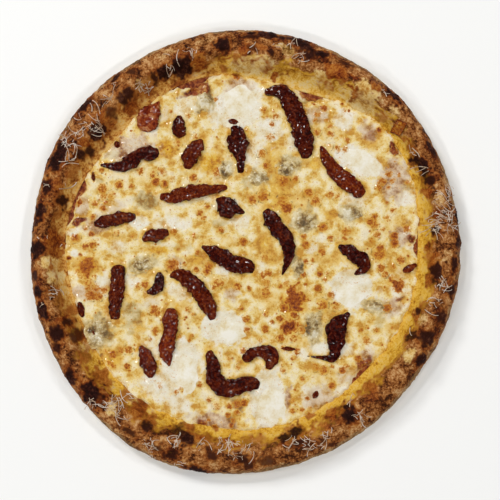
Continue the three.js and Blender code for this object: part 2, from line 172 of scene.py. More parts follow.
# Orange-brown, caramelised places on the rim, in the same way.
CARAMELISED = [
    [54, 240, 12, 9, 1], [56, 252, 6, 6, 0.9], [68, 322, 9, 8, 1], [81, 336, 8, 7, 0.9],
    [72, 310, 7, 6, 0.7], [58, 185, 8, 7, 0.7], [70, 175, 7, 6, 0.6], [84, 142, 8, 6, 0.9],
    [90, 118, 8, 6, 0.5], [104, 116, 10, 6, 0.9], [128, 105, 9, 7, 0.9], [146, 88, 9, 7, 0.8],
    [199, 60, 10, 9, 1], [176, 79, 12, 4, 0.8], [245, 50, 7, 7, 0.9], [262, 47, 9, 5, 0.7],
    [236, 56, 6, 6, 0.7], [336, 73, 14, 8, 1], [353, 78, 7, 3, 0.9], [372, 84, 6, 4, 0.7],
    [377, 88, 5, 5, 0.9], [383, 118, 6, 5, 0.6], [412, 150, 9, 4, 0.7],
    [426, 193, 6, 4, 1], [435, 217, 5, 5, 0.9], [419, 221, 7, 4, 0.7], [428, 246, 6, 5, 0.9],
    [431, 260, 9, 5, 0.8], [428, 280, 10, 4, 0.8], [416, 313, 8, 4, 0.8], [414, 335, 8, 5, 0.6],
    [370, 386, 6, 8, 0.8], [330, 413, 9, 5, 0.9], [325, 424, 7, 5, 0.7], [290, 428, 9, 5, 0.6],
    [190, 427, 7, 6, 0.8], [206, 437, 7, 5, 0.7], [140, 408, 12, 11, 0.9], [152, 420, 8, 7, 0.8],
    [126, 396, 7, 9, 0.7], [102, 376, 12, 7, 0.8], [86, 357, 9, 6, 0.7], [255, 437, 12, 4, 0.4],
    [370, 395, 9, 6, 0.6], [90, 345, 8, 6, 0.6],
]
# Pale, floury dough.
PALE_DOUGH = [
    [364, 97, 16, 17, 1], [253, 63, 24, 9, 1], [322, 73, 8, 4, 0.9], [136, 398, 12, 8, 0.9],
    [48, 262, 7, 9, 0.8], [56, 277, 9, 8, 0.8], [440, 312, 7, 7, 0.3], [420, 319, 7, 6, 0.45],
    [445, 258, 9, 6, 0.3], [290, 50, 11, 6, 0.6], [140, 84, 5, 7, 0.5], [407, 354, 9, 6, 0.8],
    [86, 346, 6, 5, 0.7], [113, 407, 9, 7, 0.7], [395, 112, 8, 6, 0.5], [437, 200, 9, 6, 0.35],
    [52, 172, 6, 4, 0.3], [280, 45, 7, 4, 0.5], [205, 40, 12, 6, 0.3], [165, 52, 12, 5, 0.3],
]
# Heaps of grated cheese on the rim: [x, y, radius, strength].
GRATED = [
    [62, 138, 6, 1], [78, 131, 6, 1], [72, 145, 7, 0.8], [70, 158, 7, 0.5], [88, 131, 5, 0.8],
    [98, 128, 5, 0.9], [46, 186, 4, 0.4], [64, 188, 5, 0.5], [44, 240, 5, 0.4], [62, 246, 4, 0.4],
    [56, 293, 6, 0.6], [45, 308, 6, 0.4], [116, 86, 6, 0.9], [108, 98, 6, 0.8], [92, 108, 5, 0.5],
    [84, 120, 7, 0.8], [97, 120, 4, 0.8], [166, 58, 5, 0.5], [142, 85, 7, 0.6], [171, 69, 4, 0.8],
    [181, 57, 3, 0.6], [189, 51, 6, 0.8], [277, 43, 5, 0.5], [294, 41, 5, 0.9], [301, 58, 5, 0.6],
    [325, 52, 3, 0.6], [252, 48, 5, 0.6], [386, 92, 3, 0.9], [413, 152, 3, 0.6], [424, 172, 5, 0.5],
    [449, 191, 5, 0.9], [440, 200, 7, 0.6], [445, 212, 9, 1], [434, 224, 9, 1], [450, 226, 6, 0.7],
    [440, 286, 7, 0.9], [432, 304, 7, 0.6], [449, 308, 5, 0.7], [292, 440, 7, 0.8], [328, 431, 6, 0.7],
    [308, 441, 8, 0.7], [318, 438, 6, 0.6], [358, 415, 6, 0.9], [176, 440, 7, 0.8], [150, 442, 7, 0.5],
    [150, 455, 5, 0.8], [182, 462, 5, 0.6], [204, 443, 6, 0.6], [226, 446, 8, 0.9], [244, 446, 8, 0.7],
    [236, 450, 6, 0.7], [98, 403, 6, 0.9], [114, 403, 9, 0.8], [126, 410, 7, 0.6], [128, 396, 4, 0.6],
    [215, 74, 4, 0.8], [408, 332, 4, 0.4], [352, 400, 5, 0.3], [376, 392, 4, 0.3],
]
# Browned blisters of the melted cheese: [x, y, radius, strength].
BROWNED = [
    [139, 169, 3.5, 0.75], [152, 173, 3.5, 0.7], [154.5, 180, 4, 1], [163, 182, 3.5, 0.95],
    [160, 168, 3, 0.6], [163, 172, 2.5, 0.5], [170, 177, 3, 0.5], [192, 176, 4, 0.75],
    [176, 141, 4, 0.5], [194, 134, 3, 0.55], [199, 212, 3.2, 0.85], [203, 217, 2.5, 0.7],
    [207, 205, 3, 0.7], [130, 185, 3, 0.65], [221, 229, 3, 0.65], [173, 231, 3, 0.75],
    [194, 235, 3, 0.5], [133, 235, 3, 0.55], [243, 241, 4, 0.85], [217, 170, 5, 0.7],
    [331, 132, 3.5, 0.7], [318, 130, 3.5, 0.65], [348, 139, 3, 0.7], [338, 147, 3, 0.6],
    [331, 145, 3, 0.5], [346, 148, 3, 0.6], [270, 135, 4, 0.5], [262, 152, 4, 0.6],
    [266, 164, 3, 0.9], [284, 180, 5, 0.8], [296, 178, 3.5, 0.7], [309, 191, 4.5, 0.75],
    [263, 195, 5, 0.75], [252, 198, 5, 0.7], [282, 200, 5, 0.7], [287, 207, 5.5, 1],
    [316, 200, 5, 0.7], [330, 194, 3.5, 0.65], [338, 196, 3, 0.6], [323, 227, 4, 0.8],
    [306, 245, 4, 0.8], [331, 238, 3, 0.7], [304, 236, 3, 0.7], [347, 231, 5, 0.6],
    [345, 238, 3, 0.7], [372, 221, 5, 0.75], [372, 241, 3, 0.7], [169, 108, 2, 0.7],
    [187, 113, 3, 0.5], [215, 96, 2.5, 0.6], [235, 72, 4.5, 0.8], [224, 65, 5, 0.7],
    [264, 107, 3.5, 0.6], [274, 109, 2, 0.45], [276, 113, 3.5, 0.65], [267, 114, 2.5, 0.45],
    [272, 122, 3, 0.6], [325, 106, 3.5, 0.95], [318, 112, 3, 0.7], [314, 101, 2.5, 0.6],
    [305, 109, 3, 0.6], [316, 118, 2.5, 0.5], [327, 118, 2.5, 0.55], [331, 124, 3, 0.6],
    [356, 91, 4, 0.9], [355, 97, 3, 0.8], [362, 94, 3.5, 0.6], [360, 82, 2.5, 0.7],
    [374, 86, 4, 0.9], [345, 109, 3, 0.75], [350, 108, 1.5, 1], [343, 101, 1.5, 0.9],
    [275, 72, 3, 0.95], [274, 76, 3, 0.85], [118, 130, 2.5, 0.7], [99, 168, 2.5, 0.8],
    [100, 187, 5, 0.7], [117, 183, 4, 0.85], [101, 195, 3.5, 0.6], [110, 194, 4, 0.5],
    [93, 202, 3, 0.7], [104, 201, 2.5, 0.8], [101, 207, 3, 0.85], [77, 201, 4, 0.8],
    [91, 216, 3, 0.75], [84, 227, 2.5, 0.5], [90, 233, 3, 0.9], [115, 232, 3, 0.5],
    [74, 237, 4, 0.85], [84, 246, 4, 0.8], [91, 244, 4, 0.75], [380, 128, 3.5, 0.9],
    [390, 173, 3.5, 0.75], [400, 174, 2, 0.8], [383, 181, 4, 0.75], [394, 180, 3, 0.6],
    [390, 186, 2.5, 0.6], [379, 187, 3, 0.7], [408, 182, 3, 0.7], [387, 202, 2.5, 0.6],
    [394, 210, 3, 0.55], [388, 218, 3, 0.6], [375, 216, 3, 0.85], [375, 224, 4, 0.7],
    [383, 229, 2.5, 0.6], [378, 234, 3.5, 0.7], [407, 228, 3.5, 0.75], [395, 236, 4, 1],
    [395, 243, 4, 0.95], [381, 248, 4, 0.75], [67, 257, 3, 0.9], [92, 267, 4, 0.95],
    [86, 273, 5, 1], [94, 277, 2, 0.5], [88, 285, 5, 0.6], [95, 290, 5, 0.65],
    [103, 290, 4, 0.65], [90, 295, 5, 0.9], [98, 296, 4, 0.85], [112, 354, 4, 0.8],
    [114, 363, 6, 0.85], [121, 349, 4, 0.6], [106, 350, 4, 0.7], [104, 372, 5, 0.7],
    [172, 265, 6, 0.85], [184, 264, 2, 0.7], [197, 252, 3, 0.75], [196, 269, 3, 0.7],
    [209, 266, 4, 0.75], [206, 271, 4, 0.8], [144, 284, 3.5, 0.8], [137, 286, 3.5, 0.55],
    [217, 283, 5, 0.6], [221, 283, 3, 0.7], [214, 287, 3, 0.65], [237, 286, 4, 0.7],
    [249, 288, 2.5, 0.8], [241, 308, 2.5, 0.65], [246, 319, 3.5, 0.8], [247, 330, 3.5, 0.6],
    [188, 309, 3, 0.55], [193, 314, 2, 0.6], [186, 317, 1.2, 1], [188, 328, 1, 0.9],
    [187, 324, 2, 0.4], [191, 336, 2.5, 0.65], [189, 340, 2, 0.55], [178, 336, 3, 0.6],
    [155, 330, 3.5, 0.85], [155, 334, 2, 0.6], [149, 339, 2, 0.6], [154, 310, 5, 0.7],
    [157, 313, 3, 0.8], [128, 350, 4, 0.7], [127, 366, 3, 0.9], [243, 351, 3, 0.8],
    [230, 358, 3, 0.55], [238, 367, 3, 0.5], [265, 257, 4, 0.6], [268, 273, 3.5, 0.75],
    [263, 275, 3, 0.65], [266, 282, 4, 0.6], [263, 293, 5.5, 0.85], [280, 286, 3, 0.65],
    [286, 284, 3, 0.6], [290, 292, 6, 0.8], [300, 294, 6, 0.8], [295, 301, 7, 0.9],
    [292, 309, 4, 1], [294, 315, 3.5, 1], [284, 308, 4, 0.9], [302, 307, 5, 0.9],
    [280, 319, 3.5, 0.85], [288, 328, 6.5, 0.95], [292, 329, 5, 0.95], [265, 329, 3.5, 0.85],
    [280, 338, 4, 0.7], [293, 338, 3.5, 0.65], [283, 348, 3, 0.75], [287, 349, 2.5, 0.7],
    [297, 351, 3, 0.75], [293, 358, 3, 0.55], [283, 370, 3, 0.55], [305, 261, 3, 0.75],
    [313, 260, 2.5, 0.6], [322, 252, 3.5, 0.75], [303, 274, 3.5, 0.75], [320, 274, 3, 0.95],
    [325, 279, 2.5, 0.6], [328, 273, 2, 0.6], [318, 288, 3.5, 0.95], [306, 284, 2, 0.85],
    [331, 295, 3.5, 0.7], [334, 303, 1.2, 1], [336, 306, 4, 0.65], [322, 305, 5, 0.65],
    [302, 330, 3.5, 0.6], [344, 334, 4, 0.75], [361, 330, 2.5, 0.75], [367, 327, 2, 0.6],
    [366, 340, 4, 0.6], [358, 358, 3.5, 0.85], [346, 366, 2.5, 0.65], [342, 370, 3.5, 0.95],
    [332, 366, 2, 0.6], [323, 370, 4, 0.8], [315, 367, 3.5, 0.65], [260, 340, 2.5, 0.55],
    [272, 322, 2, 0.7], [266, 314, 3, 0.45], [380, 254, 6, 0.7], [401, 260, 4, 0.8],
    [408, 256, 3, 0.75], [381, 268, 4, 0.8], [393, 266, 3, 0.6], [385, 274, 3.5, 0.7],
    [394, 283, 6, 0.9], [398, 285, 4, 0.8], [401, 299, 4, 0.85], [387, 308, 4, 0.95],
    [390, 328, 3.5, 0.6], [376, 330, 3, 0.6], [191, 383, 2, 0.65], [181, 389, 3, 0.5],
    [176, 392, 2.5, 0.6], [160, 385, 3, 0.35], [199, 384, 3, 0.7], [209, 399, 3, 0.55],
    [217, 405, 3.5, 0.55], [229, 406, 3, 0.75], [237, 403, 4, 0.8], [244, 402, 3.5, 0.9],
    [228, 414, 2.5, 0.95], [233, 420, 2.5, 0.9], [231, 425, 3, 0.8], [237, 412, 3, 0.8],
    [215, 427, 4, 0.75], [209, 419, 2.5, 0.55], [302, 378, 2.5, 0.8], [331, 385, 3.5, 0.8],
    [342, 380, 2.5, 0.85], [307, 398, 2, 0.8], [309, 407, 2, 0.6], [292, 410, 3, 0.75],
    [302, 409, 2.5, 0.7], [292, 400, 3, 0.55], [310, 415, 4, 0.75],
]
# Wide browned patches, as [x, y, half length, half width, heading in degrees, strength].
BROWN_PATCHES = [
    [295, 301, 10, 15, 0, 0.68], [290, 327, 9, 6, 0, 0.75], [85, 266, 9, 12, 0, 0.6],
    [396, 284, 9, 5, -35, 0.7], [266, 292, 6, 6, 0, 0.4],
]
# Wide marks of the melted cheese: [x, y, half length, half width, heading in degrees, strength].
GOLDEN = [
    [277, 190, 55, 20, 95, 0.75], [264, 247, 14, 9, 0, 0.7], [197, 258, 10, 9, 0, 0.8],
    [218, 284, 10, 8, 0, 0.6], [138, 326, 9, 8, 0, 0.7], [218, 340, 9, 7, 0, 0.5],
    [163, 290, 9, 7, 0, 0.5], [117, 240, 9, 9, 0, 0.5], [146, 272, 9, 8, 0, 0.6],
    [165, 146, 12, 10, 0, 1], [209, 160, 16, 13, 0, 0.95], [321, 306, 9, 11, 0, 0.8],
    [270, 257, 12, 9, 0, 0.7], [333, 257, 22, 9, 0, 0.6], [383, 254, 10, 9, 0, 0.8],
    [293, 302, 15, 19, 0, 0.9], [263, 241, 11, 8, 0, 0.8], [332, 215, 9, 7, 0, 0.8],
    [372, 140, 12, 9, -40, 0.7], [315, 163, 8, 7, 0, 0.8], [161, 249, 22, 4, 0, 0.9],
    [86, 265, 14, 13, 0, 1], [95, 290, 11, 8, 0, 0.7], [112, 358, 13, 13, 0, 0.8],
    [78, 186, 7, 10, 0, 0.7], [230, 240, 14, 6, -20, 0.4], [355, 250, 16, 8, 0, 0.5],
    [300, 335, 16, 14, 0, 0.5], [270, 300, 12, 14, 0, 0.45], [245, 270, 12, 10, 0, 0.4],
    [360, 365, 14, 9, 30, 0.6], [393, 225, 14, 10, 80, 0.4], [150, 178, 20, 10, 0, 0.3],
    [300, 200, 20, 14, 0, 0.5], [60, 268, 6, 8, 0, 0.4], [230, 66, 14, 6, 0, 0.7],
    [330, 130, 14, 12, 0, 0.3], [185, 305, 9, 8, 0, 0.5], [240, 350, 18, 10, 0, 0.3],
    [322, 375, 14, 8, 20, 0.4], [176, 315, 26, 18, 0, 0.2],
]
WHITE = [
    [234, 107, 28, 21, 0, 1], [244, 90, 22, 12, 0, 0.9], [185, 103, 16, 12, 20, 0.6],
    [362, 161, 28, 14, -28, 1], [345, 118, 12, 14, 0, 0.7], [181, 365, 22, 26, 0, 1],
    [160, 385, 24, 14, -20, 0.8], [224, 328, 25, 18, 0, 1], [352, 289, 23, 20, 0, 1],
    [268, 400, 18, 30, 0, 1], [345, 350, 12, 9, 0, 0.7], [320, 348, 14, 7, -10, 0.7],
    [120, 162, 14, 10, 0, 0.6], [102, 282, 10, 9, 0, 0.8], [74, 292, 10, 6, 0, 0.6],
    [72, 253, 5, 4, 0, 0.8], [70, 231, 7, 5, 0, 0.7], [116, 247, 12, 8, 0, 0.6],
    [137, 222, 14, 8, 0, 0.7], [170, 222, 24, 9, 0, 0.6], [228, 205, 16, 8, 0, 0.6],
    [238, 222, 12, 8, 0, 0.6], [130, 280, 9, 8, 0, 0.6], [178, 292, 14, 7, -30, 0.7],
    [222, 270, 10, 7, -30, 0.7], [404, 196, 10, 14, 80, 0.8], [310, 395, 12, 16, -40, 0.7],
    [345, 385, 14, 8, 35, 0.6], [400, 290, 10, 12, 70, 0.6], [255, 350, 16, 10, 0, 0.5],
    [300, 352, 14, 6, 0, 0.5], [208, 418, 28, 8, -12, 0.6], [178, 402, 16, 12, -20, 0.8],
    [395, 305, 8, 12, 70, 0.5], [268, 128, 18, 14, 0, 0.8], [250, 150, 12, 16, 0, 0.6],
    [296, 140, 16, 12, 0, 0.5], [355, 200, 14, 10, 0, 0.6], [150, 350, 14, 18, 0, 0.5],
    [110, 315, 8, 14, 0, 0.4], [150, 120, 10, 12, 0, 0.6], [150, 200, 30, 12, 0, 0.3],
    [202, 195, 20, 8, 0, 0.5], [320, 240, 14, 8, 0, 0.4], [262, 270, 8, 10, 0, 0.4],
]
# The smooth white pools of mozzarella, whose edges are clean.
POOL_MARKS = [
    [234, 107, 27, 20, 0, 1], [360, 161, 28, 11, -25, 1], [222, 327, 23, 17, 0, 1],
    [352, 287, 22, 19, 0, 1], [180, 362, 19, 24, -15, 1], [267, 398, 18, 30, 0, 1],
]
PINKISH = [
    [131, 147, 27, 16, 0, 1], [95, 225, 14, 12, 0, 0.8], [86, 292, 18, 9, 0, 0.7],
    [395, 178, 24, 17, 80, 0.9], [403, 236, 12, 10, 80, 0.9], [318, 398, 18, 13, 30, 0.7],
    [215, 421, 26, 9, -10, 0.9], [238, 80, 16, 9, 0, 0.8], [288, 76, 12, 9, 0, 0.8],
    [318, 112, 16, 11, 0, 0.7], [231, 294, 9, 7, 0, 0.7], [366, 357, 9, 11, 0, 0.8],
    [390, 308, 11, 10, 0, 0.8], [287, 398, 4, 14, 0, 0.9], [370, 130, 14, 9, -40, 0.8],
    [80, 205, 9, 14, 0, 0.7], [110, 205, 14, 9, 0, 0.5], [175, 262, 9, 8, 0, 0.6],
    [150, 300, 10, 9, 0, 0.4], [220, 175, 9, 7, 0, 0.4], [310, 250, 10, 7, 0, 0.3],
    [165, 112, 10, 10, 0, 0.4], [345, 375, 14, 8, 30, 0.5], [400, 275, 9, 12, 80, 0.4],
]
GREYISH = [
    [204, 94, 11, 17, 0, 1], [226, 168, 9, 10, 0, 0.9], [289, 163, 14, 11, 20, 0.9],
    [260, 176, 14, 9, 0, 0.7], [305, 221, 15, 13, 0, 1], [352, 212, 14, 11, 10, 0.7],
    [97, 333, 16, 20, 0, 1], [141, 264, 17, 10, 15, 0.9], [313, 327, 11, 18, 0, 1],
    [298, 266, 6, 13, 0, 1], [377, 308, 14, 8, -15, 0.9], [145, 200, 16, 10, -15, 0.8],
    [219, 223, 9, 6, 0, 0.6], [132, 314, 12, 15, 0, 0.7], [379, 322, 6, 9, 0, 0.5],
    [198, 384, 5, 4, 0, 0.7], [370, 303, 10, 4, -10, 0.9], [194, 395, 9, 6, 0, 0.3],
    [130, 332, 5, 4, 0, 0.5], [409, 186, 6, 9, 80, 0.5], [181, 246, 12, 5, 0, 0.4],
    [248, 180, 8, 8, 0, 0.6], [97, 178, 5, 4, 0, 0.6], [310, 208, 5, 10, 0, 0.6],
    [110, 152, 10, 6, 0, 0.4], [305, 98, 5, 3, 0, 0.7],
]
REDDISH = [
    [193, 88, 14, 5, 15, 1], [204, 84, 7, 7, 0, 0.9], [312, 92, 11, 7, -15, 1],
    [395, 148, 8, 5, -50, 1], [78, 186, 6, 9, 0, 1], [76, 220, 9, 4, 20, 1],
    [86, 270, 9, 7, 0, 0.6], [362, 364, 6, 7, 0, 0.9], [369, 361, 4, 6, 0, 0.8],
    [393, 240, 4, 8, 0, 0.7], [412, 239, 5, 5, 0, 0.9], [387, 308, 5, 5, 0, 0.7],
    [401, 299, 6, 3, 30, 0.8], [202, 423, 7, 5, -40, 0.8], [238, 404, 7, 6, 0, 0.7],
    [231, 419, 5, 8, 30, 0.6], [91, 175, 2, 5, 0, 1], [94, 294, 6, 5, 0, 0.6],
    [172, 264, 5, 5, 0, 0.5], [283, 83, 9, 4, 0, 0.7], [293, 308, 6, 8, 0, 0.4],
    [215, 427, 4, 4, 0, 0.6], [372, 134, 7, 5, -40, 0.5], [344, 334, 4, 6, 70, 0.6],
]
# Small bits of dried tomato: [x, y, half length, half width, heading in degrees], in pixels.
TOMATO_BITS = [
    [288, 348.5, 7, 2, -5],
    [115, 142, 4, 3, -60], [233, 119, 5, 3, -20], [80, 309, 8, 3.5, 105], [315, 394, 4, 2.6, 60],
    [93, 333, 3, 1.6, 110], [91, 175, 4, 1.4, 95],
]

# ------------------------------------------------------------------ the camera

CAMERA_DISTANCE = 800
CAMERA_TILT = math.radians(4.5)  # how far it leans from straight above, towards CAMERA_BEARING
CAMERA_BEARING = math.radians(-72)
AIM_HEIGHT = 13  # the level at which a pixel is PIXEL mm wide
SENSOR_WIDTH = 36
OUTLINE_STEPS = 144


def show(name, data):
    """A new object in the scene."""
    shown = bpy.data.objects.new(name, data)
    bpy.context.collection.objects.link(shown)
    return shown


def wave_sum(waves, bearing):
    return sum(height * np.cos(lobes * (bearing - math.radians(crest))) for lobes, height, crest in waves)


def edge_radius(bearing):
    return EDGE_RADIUS + wave_sum(EDGE_WAVES, bearing)


def dish_radius(bearing):
    return DISH_RADIUS + wave_sum(DISH_WAVES, bearing)


# The row's origin is the middle of the crust's box, so this is taken off every place.
outline_bearings = np.arange(OUTLINE_STEPS) * 2 * np.pi / OUTLINE_STEPS
outline = edge_radius(outline_bearings) * np.array([np.cos(outline_bearings), np.sin(outline_bearings)])
BOX_MIDDLE = (outline.min(1) + outline.max(1)) / 2


def in_metres(places):
    """Places in mm from the middle of the dough, as places of the row in metres."""
    moved = np.array(places, float)
    moved[..., :2] -= BOX_MIDDLE
    return moved / 1000


aim = Vector(in_metres((*on_pizza(*PICTURE_MIDDLE), AIM_HEIGHT)))
back = Vector((
    math.sin(CAMERA_TILT) * math.cos(CAMERA_BEARING),
    math.sin(CAMERA_TILT) * math.sin(CAMERA_BEARING),
    math.cos(CAMERA_TILT),
))
right = Vector((0, 1, 0)).cross(back).normalized()
turn = Matrix((right, back.cross(right), back)).transposed()
camera = show("camera", bpy.data.cameras.new("camera"))
camera.data.sensor_width = SENSOR_WIDTH
camera.data.lens = SENSOR_WIDTH * CAMERA_DISTANCE / (PICTURE_WIDTH * PIXEL)
camera.data.clip_start = 0.01
camera.matrix_world = Matrix.LocRotScale(aim + back * CAMERA_DISTANCE / 1000, turn.to_quaternion(), None)
bpy.context.scene.camera = camera

# ------------------------------------------------------------------ helpers for shapes


def smooth_step(low, high, value):
    share = np.clip((value - low) / (high - low), 0, 1)
    return share * share * (3 - 2 * share)


def bumpy(places, size, seed=0, octaves=2):
    """Smooth noise of about -1 to 1 at each place, with bumps about `size` mm across."""
    shift = Vector((7.3 * seed, 3.1 * seed, 5.7 * seed))
    flat = (np.asarray(places, float) / size).reshape(-1, 3).tolist()
    values = [noise.fractal(Vector(place) + shift, 0.9, 2.1, octaves) for place in flat]
    return 1.4 * np.array(values).reshape(np.shape(places)[:-1])


def cover(across, down, marks, ragged=0.0, full=0.5, gone=1.3):
    """How strongly oval marks cover each pixel, from 0 to 1.

    A mark is whole up to the share `full` of its size and gone at `gone`; `ragged` breaks its edge.
    """
    strongest = np.zeros(np.shape(across))
    for x, y, half_length, half_width, heading, strength in marks:
        cos, sin = math.cos(math.radians(heading)), math.sin(math.radians(heading))
        along = (across - x) * cos - (down - y) * sin
        aside = (across - x) * sin + (down - y) * cos
        off = np.hypot(along / half_length, aside / half_width) * (1 + ragged)
        strongest = np.maximum(strongest, strength * (1 - smooth_step(full, gone, off)))
    return strongest


def wandering(places, amount, seed):
    """The pixels at which places show, pushed about by some pixels, so that no mark is a clean oval."""
    across, down = seen(places[..., 0], places[..., 1])
    across = across + amount * (bumpy(places, 4, seed) + 0.5 * bumpy(places, 1.6, seed + 1))
    down = down + amount * (bumpy(places, 4, seed + 2) + 0.5 * bumpy(places, 1.6, seed + 3))
    return across, down


def spots(marks):
    """Round [x, y, radius, strength] marks as ovals."""
    return [[x, y, radius, radius, 0, strength] for x, y, radius, strength in marks]


def along_rim(marks):
    """Marks of the rim as ovals whose length runs round the pizza."""
    ovals = []
    for x, y, half_length, half_width, strength in marks:
        bearing = math.degrees(math.atan2(DOUGH_MIDDLE[1] - y, x - DOUGH_MIDDLE[0]))
        ovals.append([x, y, half_length, half_width, bearing + 90, strength])
    return ovals


def sheet_faces(rows, columns, first=0, closed=True):
    """Quads between rows of points; a closed sheet joins its last column to its first."""
    faces = []
    for row in range(rows - 1):
        for column in range(columns if closed else columns - 1):
            beside = (column + 1) % columns
            here, above = first + row * columns, first + (row + 1) * columns
            faces.append((here + column, here + beside, above + beside, above + column))
    return faces


def fan_faces(pole, ring):
    """Triangles between a pole and the ring of places round it."""
    return [(pole, ring[i], ring[(i + 1) % len(ring)]) for i in range(len(ring))]


def capped_faces(rows, columns):
    """A closed sheet with a fan over each end; the two poles are the places that come after it."""
    last = rows * columns
    faces = sheet_faces(rows, columns) + fan_faces(last, range(columns))
    return faces + fan_faces(last + 1, range(last - columns, last))


def capped_fields(fields):
    """The fields of such a sheet and of its two poles."""
    return {
        field: np.append(values.ravel(), [values[0, 0], values[-1, 0]]) for field, values in fields.items()
    }


def border(count):
    """The places round the border of a square sheet, in order."""
    index = np.arange(count ** 2).reshape(count, count)
    return [int(place) for place in (*index[0, :-1], *index[:-1, -1], *index[-1, :0:-1], *index[:0:-1, 0])]


def skirt_faces(upper, lower):
    """Quads between two rings of as many places."""
    beside = [*range(1, len(upper)), 0]
    return [(upper[i], upper[j], lower[j], lower[i]) for i, j in enumerate(beside)]


def turned(x, y, long, wide, heading):
    """Places that lie so far along and across a heading in degrees from a middle."""
    cos, sin = math.cos(math.radians(heading)), math.sin(math.radians(heading))
    return x + long * cos - wide * sin, y + long * sin + wide * cos


def paint(mesh, field, values):
    """Stores a value for each point of a mesh."""
    painted = mesh.attributes.new(field, "FLOAT", "POINT")
    painted.data.foreach_set("value", np.asarray(values, np.float32).ravel())


def make_piece(name, places, faces, material, fields):
    """A smooth closed mesh from places in mm, with a painted attribute for each field."""
    mesh = bpy.data.meshes.new(name)
    mesh.from_pydata(in_metres(places).tolist(), [], faces)
    shape = bmesh.new()
    shape.from_mesh(mesh)
    bmesh.ops.recalc_face_normals(shape, faces=shape.faces)
    shape.to_mesh(mesh)
    shape.free()
    for field, values in fields.items():
        paint(mesh, field, values)
    mesh.shade_smooth()
    mesh.materials.append(material)
    return show(name, mesh)


def serve(piece, slot, *nodes):
    """Hangs a finished piece under the root body and hides the nodes of the model that it takes the place of.
    """
    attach(piece, "root")
    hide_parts(*nodes)


# ------------------------------------------------------------------ helpers for materials


def linear(code):
    """An sRGB hex colour as linear red, green, blue and alpha."""
    parts = [int(code[i:i + 2], 16) / 255 for i in (1, 3, 5)]
    return (*[part / 12.92 if part <= 0.04045 else ((part + 0.055) / 1.055) ** 2.4 for part in parts], 1)


def per_metre(size):
    """The scale of a pattern whose cells are `size` mm across."""
    return 1000 / size


def add_node(tree, kind, inputs=(), stops=(), **settings):
    """Adds a node; each input takes a value or another node's output, and stops fill a ramp."""
    node = tree.nodes.new(kind)
    for name, value in settings.items():
        setattr(node, name, value)
    for i, (position, code) in enumerate(stops):
        elements = node.color_ramp.elements
        stop = elements[i] if i < 2 else elements.new(position)
        stop.position = position
        stop.color = linear(code)
    for name, value in dict(inputs).items():
        if isinstance(value, bpy.types.NodeSocket):
            tree.links.new(value, node.inputs[name])
        else:
            node.inputs[name].default_value = value
    return node


def new_finish(name, **values):
    """A node material, its shader with the given values, and the Object coordinates."""
    material = bpy.data.materials.new(name)
    material.use_nodes = True
    tree = material.node_tree
    shader = tree.nodes["Principled BSDF"]
    for socket, value in values.items():
        shader.inputs[socket.replace("_", " ")].default_value = value
    where = add_node(tree, "ShaderNodeTexCoord").outputs["Object"]
    return material, tree, shader, where


def layered_colour(tree, colour, breakup, layers):
    """Lays colours over a base, each where its painted field is strong.

    A layer is a field, its colour, how far the `breakup` pattern frays its edge, and how soft the
    edge is. The colour is a node's output, or stops that run over the pattern.
    """
    for field, above, fray, softness in layers:
        if isinstance(above, list):
            above = add_node(tree, "ShaderNodeValToRGB", {"Fac": breakup}, stops=above).outputs[0]
        painted = add_node(tree, "ShaderNodeAttribute", attribute_name=field).outputs["Fac"]
        centred = add_node(tree, "ShaderNodeMath", {0: breakup, 1: 0.5}, operation="SUBTRACT").outputs[0]
        frayed = add_node(tree, "ShaderNodeMath", {0: centred, 1: fray, 2: painted},
                          operation="MULTIPLY_ADD").outputs[0]
        share = add_node(tree, "ShaderNodeMapRange", {
            "Value": frayed, "From Min": 0.5 - softness, "From Max": 0.5 + softness,
        }, interpolation_type="SMOOTHSTEP").outputs[0]
        colour = add_node(tree, "ShaderNodeMix", {0: share, 6: colour, 7: above}, data_type="RGBA").outputs[2]
    return colour


def two_scales(tree, where, broad, fine, fine_share):
    """A broad and a fine noise, each from its own inputs, and a blend with a share of the fine one."""
    coarse, grain = (
        add_node(tree, "ShaderNodeTexNoise", {"Vector": where, **inputs}).outputs["Fac"]
        for inputs in (broad, fine))
    blend = add_node(tree, "ShaderNodeMath", {0: grain, 1: fine_share}, operation="MULTIPLY").outputs[0]
    blend = add_node(tree, "ShaderNodeMath", {0: coarse, 1: 1 - fine_share, 2: blend},
                     operation="MULTIPLY_ADD").outputs[0]
    return coarse, grain, blend


def wet_flecks(tree, where, cells):
    """Small scattered places where a film of oil or whey stands thick enough to glint."""
    flecks = add_node(tree, "ShaderNodeTexNoise", {
        "Vector": where, "Scale": cells, "Detail": 3, "Roughness": 0.6,
    })
    return add_node(tree, "ShaderNodeMapRange", {
        "Value": flecks.outputs["Fac"], "From Min": 0.5, "From Max": 0.6,
    }, interpolation_type="SMOOTHSTEP").outputs[0]


# ------------------------------------------------------------------ materials

MILKY_WHITE = [(0.39, "#d8c69c"), (0.45, "#e0d5b8"), (0.53, "#e5dec9"), (0.6, "#eae5d7")]


